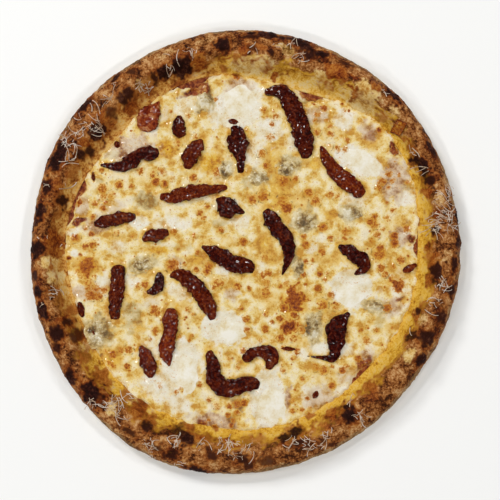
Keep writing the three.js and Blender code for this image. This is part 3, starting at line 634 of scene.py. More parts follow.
def baked_dough():
    # Wheat dough baked in a wood-fired oven: dry and matt, speckled brown where it rose into the
    # heat, golden and oily where it runs down to the cheese, black where it blistered.
    material, tree, shader, where = new_finish("baked_dough", Diffuse_Roughness=0.4, Specular_IOR_Level=0.06)
    _, grain, blend = two_scales(
        tree, where, {"Scale": per_metre(7.5), "Detail": 6, "Roughness": 0.65, "Distortion": 0.4},
        {"Scale": per_metre(1.5), "Detail": 4, "Roughness": 0.7}, 0.42)
    golden = add_node(tree, "ShaderNodeValToRGB", {"Fac": blend}, stops=[
        (0.38, "#9c6416"), (0.44, "#c48e28"), (0.5, "#d8aa3c"), (0.57, "#e2be60"), (0.65, "#ecd7a2"),
    ]).outputs[0]
    # A darker, duller ramp: painted shade on the side of the slope down to the cheese that faces away from
    # the key light.
    painted_shade_colours = [(0.38, "#6b3012"), (0.44, "#a86626"), (0.49, "#c68e42"), (0.55, "#d8ae5e"), (0.63, "#e4ca92")]
    brown = [(0.38, "#1b0804"), (0.43, "#48210d"), (0.48, "#7d461d"), (0.54, "#aa703a"), (0.62, "#dcb37c")]
    caramel = [(0.39, "#491507"), (0.45, "#75310f"), (0.52, "#985019"), (0.6, "#bc7a30")]
    # Pale floury colour, laid on floury dough and also, as painted light, on the shaded side of the slope
    # down to the cheese.
    flour_and_painted_light = [(0.39, "#ae742c"), (0.45, "#c99c50"), (0.51, "#d9b873"), (0.6, "#e6d09c")]
    edge = [(0.39, "#573820"), (0.46, "#7f5b35"), (0.54, "#a17c4e"), (0.62, "#bd9f74")]
    char = [(0.4, "#0d0302"), (0.47, "#1d0906"), (0.54, "#33130b"), (0.62, "#55301f")]
    # The underside has broad char spots, where it lay on the oven's floor.
    flat_spots = add_node(tree, "ShaderNodeTexNoise", {
        "Vector": where, "Scale": per_metre(15), "Detail": 5, "Roughness": 0.55,
    }).outputs["Fac"]
    spotted = add_node(tree, "ShaderNodeValToRGB", {"Fac": flat_spots}, stops=[
        (0.36, "#e0c898"), (0.52, "#cba468"), (0.59, "#8a5a2c"), (0.66, "#3a1c0f"),
    ]).outputs[0]
    colour = layered_colour(tree, golden, blend, [
        ("painted_slope_shade", painted_shade_colours, 1.6, 0.5), ("singed", caramel, 2.6, 0.45), ("toasted", brown, 2.4, 0.3),
        ("edge", edge, 1.6, 0.4), ("flour_and_painted_light", flour_and_painted_light, 1.6, 0.35), ("caramelised", caramel, 1.6, 0.42),
        ("charred", char, 2.2, 0.45), ("underside", spotted, 0.3, 0.3),
    ])
    tree.links.new(colour, shader.inputs["Base Color"])
    oily = add_node(tree, "ShaderNodeAttribute", attribute_name="oily").outputs["Fac"]
    rough = add_node(tree, "ShaderNodeMapRange", {"Value": oily, "To Min": 0.7, "To Max": 0.36}).outputs[0]
    tree.links.new(rough, shader.inputs["Roughness"])
    pores = add_node(tree, "ShaderNodeBump", {
        "Height": grain, "Strength": 0.5, "Distance": 0.0009,
    }).outputs[0]
    tree.links.new(pores, shader.inputs["Normal"])
    return material


def curds_and_grain(tree, where):
    """The mottle and the grain of melted cheese, and their blend."""
    return two_scales(tree, where, {"Scale": per_metre(7), "Detail": 4, "Roughness": 0.5, "Distortion": 0.2},
                      {"Scale": per_metre(1.6), "Detail": 4, "Roughness": 0.7}, 0.34)


def melted_cheese():
    # Melted cheese: a soft, oily, curdled sheet that glints, creamy where the milk stayed white and
    # dotted brown where it boiled up in small blisters.
    material, tree, shader, where = new_finish(
        "melted_cheese", Specular_IOR_Level=0.1, Coat_Roughness=0.1)
    tree.links.new(wet_flecks(tree, where, per_metre(1.8)), shader.inputs["Coat Weight"])
    mottle, grain, blend = curds_and_grain(tree, where)
    cream = add_node(tree, "ShaderNodeValToRGB", {"Fac": blend}, stops=[
        (0.39, "#c08a34"), (0.44, "#d5ac54"), (0.485, "#e1c67e"), (0.53, "#e8d7a4"), (0.6, "#efe5c9"),
    ]).outputs[0]
    golden = [(0.39, "#9a5612"), (0.44, "#bd7e1a"), (0.49, "#d09b2a"), (0.54, "#ddb348"), (0.62, "#e8d28e")]
    pinkish = [(0.4, "#7d4c34"), (0.46, "#b08a6a"), (0.52, "#c8ac8c"), (0.6, "#dbcbb2")]
    greyish = [(0.4, "#6b4f2e"), (0.45, "#957a4c"), (0.5, "#b49c68"), (0.56, "#c9b584"), (0.62, "#dccfa8")]
    reddish = [(0.4, "#481208"), (0.47, "#6e2810"), (0.54, "#8f491f"), (0.62, "#b57c48")]
    colour = layered_colour(tree, cream, blend, [
        ("golden", golden, 2.6, 0.5), ("white", MILKY_WHITE, 2.0, 0.42), ("pinkish", pinkish, 2.0, 0.45),
        ("greyish", greyish, 2.0, 0.45), ("reddish", reddish, 1.6, 0.35),
    ])
    # Small boiled dots in cells of 4.4 mm, each with a size and a strength of its own.
    cells = add_node(tree, "ShaderNodeTexVoronoi", {"Vector": where, "Scale": per_metre(4.4)}).outputs
    chances = add_node(tree, "ShaderNodeSeparateColor", {0: cells["Color"]}).outputs
    radius = add_node(tree, "ShaderNodeMath", {0: chances[0], 1: 0.2, 2: 0.17},
                      operation="MULTIPLY_ADD").outputs[0]
    core = add_node(tree, "ShaderNodeMath", {0: radius, 1: 0.3}, operation="MULTIPLY").outputs[0]
    kept = add_node(tree, "ShaderNodeMapRange", {
        "Value": chances[1], "From Min": 0.3, "From Max": 1, "To Max": 0.5,
    }).outputs[0]
    white = add_node(tree, "ShaderNodeAttribute", attribute_name="white").outputs["Fac"]
    kept = add_node(tree, "ShaderNodeMath", {0: kept, 1: white},
                    operation="SUBTRACT", use_clamp=True).outputs[0]
    dot = add_node(tree, "ShaderNodeMapRange", {
        "Value": cells["Distance"], "From Min": radius, "From Max": core, "To Max": kept,
    }, interpolation_type="SMOOTHSTEP").outputs[0]
    painted = add_node(tree, "ShaderNodeAttribute", attribute_name="browned").outputs["Fac"]
    heat = add_node(tree, "ShaderNodeMath", {0: painted, 1: dot}, operation="MAXIMUM").outputs[0]
    uneven = add_node(tree, "ShaderNodeMath", {0: grain, 1: 0.5}, operation="SUBTRACT").outputs[0]
    heat = add_node(tree, "ShaderNodeMath", {0: uneven, 1: 1.7, 2: heat}, operation="MULTIPLY_ADD").outputs[0]
    browning = add_node(tree, "ShaderNodeValToRGB", {"Fac": heat}, stops=[
        (0.06, "#e0bd66"), (0.2, "#d09b36"), (0.36, "#bd7a22"), (0.52, "#a55b17"), (0.7, "#883f11"),
        (0.92, "#5c1e0a"),
    ]).outputs[0]
    share = add_node(tree, "ShaderNodeMapRange", {"Value": heat, "From Min": 0.03, "From Max": 0.42},
                     interpolation_type="SMOOTHSTEP").outputs[0]
    colour = add_node(tree, "ShaderNodeMix", {0: share, 6: colour, 7: browning}, data_type="RGBA").outputs[2]
    tree.links.new(colour, shader.inputs["Base Color"])
    rough = add_node(tree, "ShaderNodeMapRange", {
        "Value": mottle, "From Min": 0.35, "From Max": 0.65, "To Min": 0.24, "To Max": 0.42,
    }).outputs[0]
    tree.links.new(rough, shader.inputs["Roughness"])
    curds = add_node(tree, "ShaderNodeBump", {"Height": blend, "Strength": 0.8, "Distance": 0.002}).outputs[0]
    tree.links.new(curds, shader.inputs["Normal"])
    return material


def fresh_mozzarella():
    # Fresh mozzarella melted into smooth, wet, milky pools.
    material, tree, shader, where = new_finish(
        "fresh_mozzarella", Specular_IOR_Level=0.15, Coat_Weight=0.2, Coat_Roughness=0.25)
    mottle, grain, blend = curds_and_grain(tree, where)
    milky = add_node(tree, "ShaderNodeValToRGB", {"Fac": blend}, stops=MILKY_WHITE).outputs[0]
    tree.links.new(milky, shader.inputs["Base Color"])
    rough = add_node(tree, "ShaderNodeMapRange", {
        "Value": mottle, "From Min": 0.3, "From Max": 0.7, "To Min": 0.32, "To Max": 0.5,
    }).outputs[0]
    tree.links.new(rough, shader.inputs["Roughness"])
    skin = add_node(tree, "ShaderNodeBump", {"Height": grain, "Strength": 0.2, "Distance": 0.0004}).outputs[0]
    tree.links.new(skin, shader.inputs["Normal"])
    return material


def crumbled_blue_cheese():
    # Blue-veined cheese, crumbled and half melted: moist tan curds that run out into the cheese
    # round them, speckled with grey mould.
    material, tree, shader, where = new_finish(
        "blue_veined_cheese", Roughness=0.4, Specular_IOR_Level=0.1, Coat_Roughness=0.16)
    tree.links.new(wet_flecks(tree, where, per_metre(1.6)), shader.inputs["Coat Weight"])
    _, _, blend = curds_and_grain(tree, where)
    curds = add_node(tree, "ShaderNodeValToRGB", {"Fac": blend}, stops=[
        (0.4, "#775832"), (0.45, "#96794b"), (0.49, "#b09867"), (0.54, "#c8b68c"), (0.6, "#e2d9c0"),
    ]).outputs[0]
    specks = add_node(tree, "ShaderNodeTexNoise", {
        "Vector": where, "Scale": per_metre(1.7), "Detail": 4, "Roughness": 0.75,
    }).outputs["Fac"]
    veins = add_node(tree, "ShaderNodeTexNoise", {
        "Vector": where, "Scale": per_metre(7), "Detail": 1,
    }).outputs["Fac"]
    mould = add_node(tree, "ShaderNodeMath", {0: specks, 1: veins}, operation="ADD").outputs[0]
    mouldy = add_node(tree, "ShaderNodeMapRange", {
        "Value": mould, "From Min": 0.95, "From Max": 0.78, "To Max": 0.75,
    }, interpolation_type="SMOOTHSTEP").outputs[0]
    colour = add_node(tree, "ShaderNodeMix", {0: mouldy, 6: curds, 7: linear("#574a34")},
                      data_type="RGBA").outputs[2]
    brim = [(0.4, "#a08048"), (0.46, "#bfa163"), (0.52, "#d3bc88"), (0.6, "#e2d4ac")]
    colour = layered_colour(tree, colour, blend, [("brim", brim, 2.6, 0.45)])
    tree.links.new(colour, shader.inputs["Base Color"])
    crumbs = add_node(tree, "ShaderNodeBump", {
        "Height": specks, "Strength": 0.8, "Distance": 0.0012,
    }).outputs[0]
    tree.links.new(crumbs, shader.inputs["Normal"])
    return material


def dried_tomato():
    # Sun-dried tomato kept in oil: leathery, pulpy flesh, nearly black where it is thick and baked,
    # red-brown and glassy where it is thin, with small oily glints all over it.
    material, tree, shader, _ = new_finish(
        "dried_tomato", Roughness=0.4, Specular_IOR_Level=0.03, Coat_Roughness=0.09)
    along, across, tone, fold, strip = (
        add_node(tree, "ShaderNodeAttribute", attribute_name=field).outputs["Fac"]
        for field in ("along", "across", "tone", "fold", "strip"))
    laid = add_node(tree, "ShaderNodeCombineXYZ", {0: along, 1: across, 2: strip}).outputs[0]
    # The painted lengths are in mm, so the pattern's scale is cells in a mm.
    pulp = add_node(tree, "ShaderNodeTexNoise", {
        "Vector": laid, "Scale": 0.7, "Detail": 5, "Roughness": 0.75, "Distortion": 0.3,
    }).outputs["Fac"]
    tree.links.new(wet_flecks(tree, laid, 0.6), shader.inputs["Coat Weight"])
    raised = add_node(tree, "ShaderNodeMath", {0: fold, 1: 0.06, 2: pulp},
                      operation="MULTIPLY_ADD").outputs[0]
    dark = add_node(tree, "ShaderNodeValToRGB", {"Fac": raised}, stops=[
        (0.34, "#150202"), (0.45, "#2b0605"), (0.55, "#4a1009"), (0.68, "#7e3520"),
    ]).outputs[0]
    light = add_node(tree, "ShaderNodeValToRGB", {"Fac": raised}, stops=[
        (0.34, "#4a0d06"), (0.45, "#751e0a"), (0.55, "#983b13"), (0.68, "#c27232"),
    ]).outputs[0]
    colour = add_node(tree, "ShaderNodeMix", {0: tone, 6: dark, 7: light}, data_type="RGBA").outputs[2]
    tree.links.new(colour, shader.inputs["Base Color"])
    leather = add_node(tree, "ShaderNodeBump", {"Height": pulp, "Strength": 1, "Distance": 0.0024}).outputs[0]
    tree.links.new(leather, shader.inputs["Normal"])
    return material


def cooked_tomato():
    # Flesh of a cooked tomato: soft, wet and fibrous, brick red with pale threads.
    material, tree, shader, where = new_finish(
        "cooked_tomato", Roughness=0.6, Specular_IOR_Level=0.03, Coat_Roughness=0.1)
    tree.links.new(wet_flecks(tree, where, per_metre(1)), shader.inputs["Coat Weight"])
    fibres = add_node(tree, "ShaderNodeTexNoise", {
        "Vector": where, "Scale": per_metre(5), "Detail": 6, "Roughness": 0.65, "Distortion": 1.6,
    }).outputs["Fac"]
    flesh = add_node(tree, "ShaderNodeValToRGB", {"Fac": fibres}, stops=[
        (0.36, "#4c0e04"), (0.45, "#6e210a"), (0.54, "#8e4018"), (0.66, "#ba8454"),
    ]).outputs[0]
    tree.links.new(flesh, shader.inputs["Base Color"])
    pulp = add_node(tree, "ShaderNodeBump", {"Height": fibres, "Strength": 0.6, "Distance": 0.002}).outputs[0]
    tree.links.new(pulp, shader.inputs["Normal"])
    return material


def grated_cheese():
    # Hard cheese grated over the pizza and baked: thin, waxy, pale threads.
    material, tree, shader, where = new_finish("grated_hard_cheese", Roughness=0.5)
    baked = add_node(tree, "ShaderNodeTexNoise", {
        "Vector": where, "Scale": per_metre(6), "Detail": 3,
    }).outputs["Fac"]
    pale = add_node(tree, "ShaderNodeValToRGB", {"Fac": baked}, stops=[
        (0.36, "#ab8a6c"), (0.48, "#cdb49a"), (0.6, "#dfd0c0"),
    ]).outputs[0]
    tree.links.new(pale, shader.inputs["Base Color"])
    return material


def tomato_sauce():
    # Crushed tomato sauce, baked: thick, wet and slightly grainy.
    material, tree, shader, where = new_finish("tomato_sauce", Roughness=0.34, Specular_IOR_Level=0.1)
    pulp = add_node(tree, "ShaderNodeTexNoise", {
        "Vector": where, "Scale": per_metre(3), "Detail": 5, "Roughness": 0.65, "Distortion": 0.5,
    }).outputs["Fac"]
    red = add_node(tree, "ShaderNodeValToRGB", {"Fac": pulp}, stops=[
        (0.36, "#4a1308"), (0.46, "#6c2c12"), (0.56, "#8f4c22"), (0.68, "#b57e46"),
    ]).outputs[0]
    tree.links.new(red, shader.inputs["Base Color"])
    wet = add_node(tree, "ShaderNodeBump", {"Height": pulp, "Strength": 0.5, "Distance": 0.001}).outputs[0]
    tree.links.new(wet, shader.inputs["Normal"])
    return material


DOUGH = baked_dough()
CHEESE = melted_cheese()
MOZZARELLA = fresh_mozzarella()
BLUE_CHEESE = crumbled_blue_cheese()
DRIED_TOMATO = dried_tomato()
COOKED_TOMATO = cooked_tomato()
HARD_CHEESE = grated_cheese()
SAUCE = tomato_sauce()

# ------------------------------------------------------------------ the pizza's surfaces


def rim_height(bearing):
    return RIM_HEIGHT + wave_sum(HEIGHT_WAVES, bearing)


def scatter_blisters():
    """Small blisters all round the rim, as [x, y, radius, height], from a seeded row of numbers."""
    state = BLISTER_SEED
    blisters = []
    for i in range(BLISTER_COUNT):
        draws = []
        for _ in range(4):
            state = state * RANDOM_FACTOR % RANDOM_LIMIT
            draws.append(state / RANDOM_LIMIT)
        bearing = 2 * math.pi * (i + draws[0]) / BLISTER_COUNT
        distance = edge_radius(bearing) - 5 - 15 * draws[1]
        blisters.append([distance * math.cos(bearing), distance * math.sin(bearing),
                         5 + 5 * draws[2], 0.6 + 1.5 * draws[3]])
    return blisters


BUMPS = DOUGH_BUBBLES + scatter_blisters()


def bubble_lift(x, y):
    """How far bubbles and blisters raise the dough."""
    lift = np.zeros(np.shape(x))
    for bump_x, bump_y, radius, height in BUMPS:
        near = np.maximum(0, 1 - ((x - bump_x) ** 2 + (y - bump_y) ** 2) / radius ** 2)
        lift += height * near * near
    return lift


def mean_rim_top(radius):
    """Height of the dough's upper side in the mean profile, down to the ledge under the cheese."""
    out = np.clip((radius - CREST_RADIUS) / CREST_INSET, 0, 1)
    outside = BELLY_HEIGHT + (RIM_HEIGHT - BELLY_HEIGHT) * np.sqrt(1 - out * out)
    up = np.clip((radius - SLOPE_FOOT) / (CREST_RADIUS - SLOPE_FOOT), 0, 1)
    inside = LEDGE_HEIGHT + (RIM_HEIGHT - LEDGE_HEIGHT) * (1 - np.cos(np.pi * up)) / 2
    return np.where(radius >= CREST_RADIUS, outside, inside)


def shape_crust(radius, height, bearing):
    """Takes points of the mean rim profile to their places on the uneven crust."""
    dish = dish_radius(bearing)
    beyond = (radius - DISH_RADIUS) / (EDGE_RADIUS - DISH_RADIUS)
    new_radius = np.where(beyond > -0.1, dish + beyond * (edge_radius(bearing) - dish), radius)
    x, y = new_radius * np.cos(bearing), new_radius * np.sin(bearing)
    stretch = (rim_height(bearing) - BELLY_HEIGHT) / (RIM_HEIGHT - BELLY_HEIGHT)
    z = np.where(height > BELLY_HEIGHT, BELLY_HEIGHT + (height - BELLY_HEIGHT) * stretch, height)
    lifted = smooth_step(BASE_THICKNESS + 1, BELLY_HEIGHT + 3, z) * bubble_lift(x, y)
    z = z + np.where(radius > SLOPE_FOOT, lifted, 0)
    return np.stack([x, y, z], axis=-1)


def crust_point(bearing, inset):
    """The place on the rim's upper side that lies so far in from the pizza's edge."""
    share = inset / (edge_radius(bearing) - dish_radius(bearing))
    radius = EDGE_RADIUS - share * (EDGE_RADIUS - DISH_RADIUS)
    return shape_crust(radius, mean_rim_top(radius), bearing)


def cheese_top(x, y):
    """Height of the melted cheese, with its long waves only."""
    height = np.full(np.shape(x), float(CHEESE_LEVEL))
    for size, length, heading in CHEESE_WAVES:
        along = x * math.cos(math.radians(heading)) + y * math.sin(math.radians(heading))
        height = height + size * np.sin(2 * np.pi * along / length)
    return height


def sauce_bays(bearing):
    """How far the cheese's edge draws back from the rim where the sauce shows."""
    depth = np.zeros(np.shape(bearing))
    for bay, bay_depth, spread in SAUCE_BAYS:
        off = np.arctan2(np.sin(bearing - math.radians(bay)), np.cos(bearing - math.radians(bay)))
        depth = depth + bay_depth * np.exp(-(off / math.radians(spread)) ** 2)
    return depth


# ------------------------------------------------------------------ the crust

DOUGH_COLUMNS = 1296
FLAT_RADII = (30, 60, 90, 120)  # rows of the underside within its foot
FOOT_ROWS = 8
CREST_ROWS = 30
SLOPE_ROWS = 27
UPPER_ROW = len(FLAT_RADII) + 1 + FOOT_ROWS  # the first row of the dough's upper side
SPOTTED_ROWS = 9  # the rows from the underside's middle that lay on the oven's floor
SHADED_SLOPE_BEARING = math.radians(148)  # the bearing where the slope down to the cheese gets the most painted shade
PAINTED_LIGHT_BEARING = math.radians(66)  # where the slope is painted palest: partly floury dough, partly painted light on the side the key light leaves in shade


def dough_profile():
    """Points of the mean profile as [radius, height], from the underside's middle round and back."""
    foot = EDGE_RADIUS - FOOT_INSET
    profile = [[radius, 0] for radius in (*FLAT_RADII, foot)]
    for turn in np.radians(np.linspace(90 / FOOT_ROWS, 90, FOOT_ROWS)):
        profile.append([foot + FOOT_INSET * np.sin(turn), BELLY_HEIGHT * (1 - np.cos(turn))])
    for turn in np.radians(np.linspace(90 / CREST_ROWS, 90, CREST_ROWS)):
        radius = CREST_RADIUS + CREST_INSET * np.cos(turn)
        profile.append([radius, float(mean_rim_top(np.array(radius)))])
    for share in np.linspace(1 / SLOPE_ROWS, 1, SLOPE_ROWS):
        radius = CREST_RADIUS - (CREST_RADIUS - SLOPE_FOOT) * share
        profile.append([radius, float(mean_rim_top(np.array(radius)))])
    profile += [[SLOPE_FOOT - 0.3, BASE_THICKNESS], [80, BASE_THICKNESS], [40, BASE_THICKNESS]]
    return np.array(profile)


def surface_normals(grid):
    """Outward normals of a grid of places whose columns run round the pizza."""
    up_the_profile = np.gradient(grid, axis=0)
    round_the_rim = np.roll(grid, -1, axis=1) - np.roll(grid, 1, axis=1)
    normals = np.cross(round_the_rim, up_the_profile)
    return normals / np.maximum(np.linalg.norm(normals, axis=-1, keepdims=True), 1e-9)


def bake_crust():
    """The dough with its relief, painted with how it baked, and with painted shade and painted light on its
    slope down to the cheese.
    """
    profile = dough_profile()
    row = np.arange(len(profile))[:, None]
    bearings = np.arange(DOUGH_COLUMNS) * 2 * np.pi / DOUGH_COLUMNS
    radius, height = profile[:, :1], profile[:, 1:]
    grid = shape_crust(radius + 0 * bearings, height + 0 * bearings, bearings + 0 * radius)
    shown = (height > 1) & (radius > SLOPE_FOOT + 0.5)
    relief = 0.5 * bumpy(grid, 10, 1) + 0.22 * bumpy(grid, 3.4, 2) + 0.08 * bumpy(grid, 1.3, 3)
    across, down = wandering(grid, 1.5, 50)
    ragged = 0.45 * bumpy(grid, 4.5, 4) + 0.15 * bumpy(grid, 1.8, 5)
    charred = cover(across, down, along_rim(CHARRED), ragged, 0.5, 1.35)
    caramelised = cover(across, down, along_rim(CARAMELISED) + spots(BROWNED), ragged)
    flour_and_painted_light = cover(across, down, along_rim(PALE_DOUGH), 0.6 * ragged)
    beyond = (radius - DISH_RADIUS) / (EDGE_RADIUS - DISH_RADIUS) + 0 * bearings
    upper = row >= UPPER_ROW
    wander = 0.13 * bumpy(grid, 14, 7) + 0.06 * bumpy(grid, 4, 8)
    toasted = np.where(upper, smooth_step(0.24, 0.48, beyond + wander), 1)
    # The dough turns red-brown round every charred place and along the foot of the toasted part.
    fringe = 0.62 * np.exp(-((beyond + wander - 0.27) / 0.06) ** 2) * (1 + 1.4 * ragged)
    fringe = np.maximum(fringe, 0.8 * cover(across, down, along_rim(CHARRED), ragged, 0.9, 1.8))
    caramelised = np.maximum(caramelised, np.where(upper, fringe, 0))
    flour_and_painted_light = np.where(upper, flour_and_painted_light, 0.6)
    relief = relief * (0.35 + 0.65 * toasted) + 0.5 * charred * bumpy(grid, 2.2, 6) + 0.3 * caramelised
    grid = grid + np.where(shown, relief, 0)[..., None] * surface_normals(grid)
    singed = np.where(upper, smooth_step(0.08, 0.4, beyond + 1.4 * wander), 1)
    # Painted light: round one bearing the slope down to the cheese is painted paler and more floury, with no
    # singed or shaded colour, to make up for the shade the key light leaves there.
    floury_painted_light_side = smooth_step(0.8, 0.95, np.cos(bearings - PAINTED_LIGHT_BEARING)) + 0 * radius
    # Painted shade: on one side of the pizza the slope down to the cheese is painted darker and duller, where
    # it faces away from the key light.
    painted_slope_shade = smooth_step(0, 0.95, np.cos(bearings - SHADED_SLOPE_BEARING)) * (1 - floury_painted_light_side)
    singed = singed * (1 - floury_painted_light_side)
    flour_and_painted_light = np.maximum(flour_and_painted_light, 0.42 * floury_painted_light_side * (1 - toasted))
    edge = np.where(upper, smooth_step(0.88, 0.97, beyond + 0.4 * wander), 1)
    oily = (1 - toasted) * (1 - charred) + 0.5 * caramelised * (1 - charred)
    fields = {
        "toasted": toasted, "singed": 0.62 * singed, "painted_slope_shade": painted_slope_shade, "edge": edge, "flour_and_painted_light": flour_and_painted_light,
        "caramelised": caramelised, "charred": charred, "oily": np.clip(oily, 0, 1),
        "underside": (height <= 3) * (row < SPOTTED_ROWS) + 0 * bearings,
    }
    places = np.concatenate([grid.reshape(-1, 3), [[0, 0, 0], [0, 0, BASE_THICKNESS]]])
    faces = capped_faces(len(profile), DOUGH_COLUMNS)
    return make_piece("dough", places, faces, DOUGH, capped_fields(fields))


# ------------------------------------------------------------------ tomato strips

STRIP_ROWS = 90
STRIP_SIDES = 36
STRIP_REST = 0.45  # how far above the cheese a strip's middle level lies


def smooth_line(points, share):
    """Catmull-Rom curve through the points, at shares of its length from 0 to 1."""
    points = np.array(points, float)
    points = np.concatenate([[2 * points[0] - points[1]], points, [2 * points[-1] - points[-2]]])
    reach = np.clip(share, 0, 1) * (len(points) - 3)
    start = np.minimum(reach.astype(int), len(points) - 4)
    t = (reach - start)[:, None]
    a, b, c, d = (points[start + i] for i in range(4))
    bend, twist = 2 * a - 5 * b + 4 * c - d, 3 * b - a - 3 * c + d
    return 0.5 * (2 * b + (c - a) * t + bend * t ** 2 + twist * t ** 3)


def lay_tomato(name, line, swell, seed, fields, material):
    """A leathery piece draped on the cheese along a middle line of [x, y, width] points."""
    share = (1 - np.cos(np.linspace(0, np.pi, STRIP_ROWS + 2)[1:-1])) / 2
    middle = smooth_line(line, share)
    steps = np.hypot(*np.diff(middle[:, :2], axis=0).T)
    length_along = np.concatenate([[0], np.cumsum(steps)])
    ahead = np.gradient(middle[:, :2], axis=0)
    ahead /= np.linalg.norm(ahead, axis=1, keepdims=True)
    aside = np.stack([-ahead[:, 1], ahead[:, 0]], axis=1)
    around = np.arange(STRIP_SIDES) * 2 * np.pi / STRIP_SIDES
    blunt = (1 - (1 - 2 * share) ** 2) ** 0.17
    seeds = np.stack([length_along, 0 * length_along + 9.1 * seed, 0 * length_along], axis=1)
    left = 1.02 + 0.17 * bumpy(seeds, 6, 11) + 0.13 * bumpy(seeds, 2.4, 12, 3)
    right_side = 1.02 + 0.17 * bumpy(seeds, 6, 13) + 0.13 * bumpy(seeds, 2.4, 14, 3)
    width = middle[:, 2] / 2 * blunt
    cos, sin = np.cos(around), np.sin(around)
    u = np.sign(cos) * np.abs(cos) ** 0.8
    reach = np.where(u > 0, left[:, None], right_side[:, None]) * width[:, None] * u
    place = middle[:, None, :2] + aside[:, None, :] * reach[..., None]
    thickness = (1.0 + swell * middle[:, 2]) * (1 - (1 - 2 * share) ** 4) ** 0.5
    local = np.stack([length_along[:, None] / 2.2 + 0 * reach, reach, 0 * reach + 13.7 * seed], axis=-1)
    folds = bumpy(local, 2.6, 15) + 0.5 * bumpy(local, 1.2, 16)
    curl = 0.68 + 0.22 * np.abs(u) ** 2.5 + 0.2 * bumpy(local, 7, 17)
    top = np.abs(sin) ** 0.4 * (thickness[:, None] * curl + 0.55 * folds * blunt[:, None])
    below = -0.7 * np.abs(sin) ** 0.5 * blunt[:, None]
    lift = np.where(sin >= 0, np.maximum(top, 0.1), below)
    x, y = place[..., 0], place[..., 1]
    grid = np.stack([x, y, cheese_top(x, y) + STRIP_REST + lift], axis=-1)
    ends = []
    for row, step in ((0, -1), (-1, 1)):
        tip = grid[row].mean(axis=0)
        tip[:2] += ahead[row] * step * 0.15 * width[row]
        ends.append(tip)
    places = np.concatenate([grid.reshape(-1, 3), ends])
    fields = {field: 0 * reach + value for field, value in fields.items()}
    fields["along"], fields["across"], fields["fold"] = length_along[:, None] + 0 * reach, reach, folds
    if "tone" in fields:
        fields["tone"] = fields["tone"] * (1 - 0.3 * np.abs(u) ** 5) + 0.25 * bumpy(local, 5, 18)
    return make_piece(name, places, capped_faces(STRIP_ROWS, STRIP_SIDES), material, capped_fields(fields))


def gap_to_strips(x, y):
    """How far each place lies outside the nearest tomato strip, in mm."""
    nearest = np.full(np.shape(x), 99.0)
    for line in TOMATO_STRIPS:
        for centre_x, centre_y, width in smooth_line(line, np.linspace(0.04, 0.96, 14)):
            nearest = np.minimum(nearest, np.hypot(x - centre_x, y - centre_y) - width / 2)
    return np.maximum(nearest, 0)


# ------------------------------------------------------------------ the melted cheese

CHEESE_GRID = 304
CHEESE_UNDERSIDE = 6.5
SKIRT_DROP = 0.1  # how far the sheet's flat underside lies under its edge
# The pools as marks, with the heading turned over, because y runs up the pizza and down the picture.
MOZZARELLA_OVALS = [
    [x, y, length / 2, width / 2, -heading, 1] for x, y, length, width, heading in MOZZARELLA_POOLS
]

CHEESE_MARKS = {
    "golden": GOLDEN, "white": WHITE, "pinkish": PINKISH, "greyish": GREYISH, "reddish": REDDISH,
}


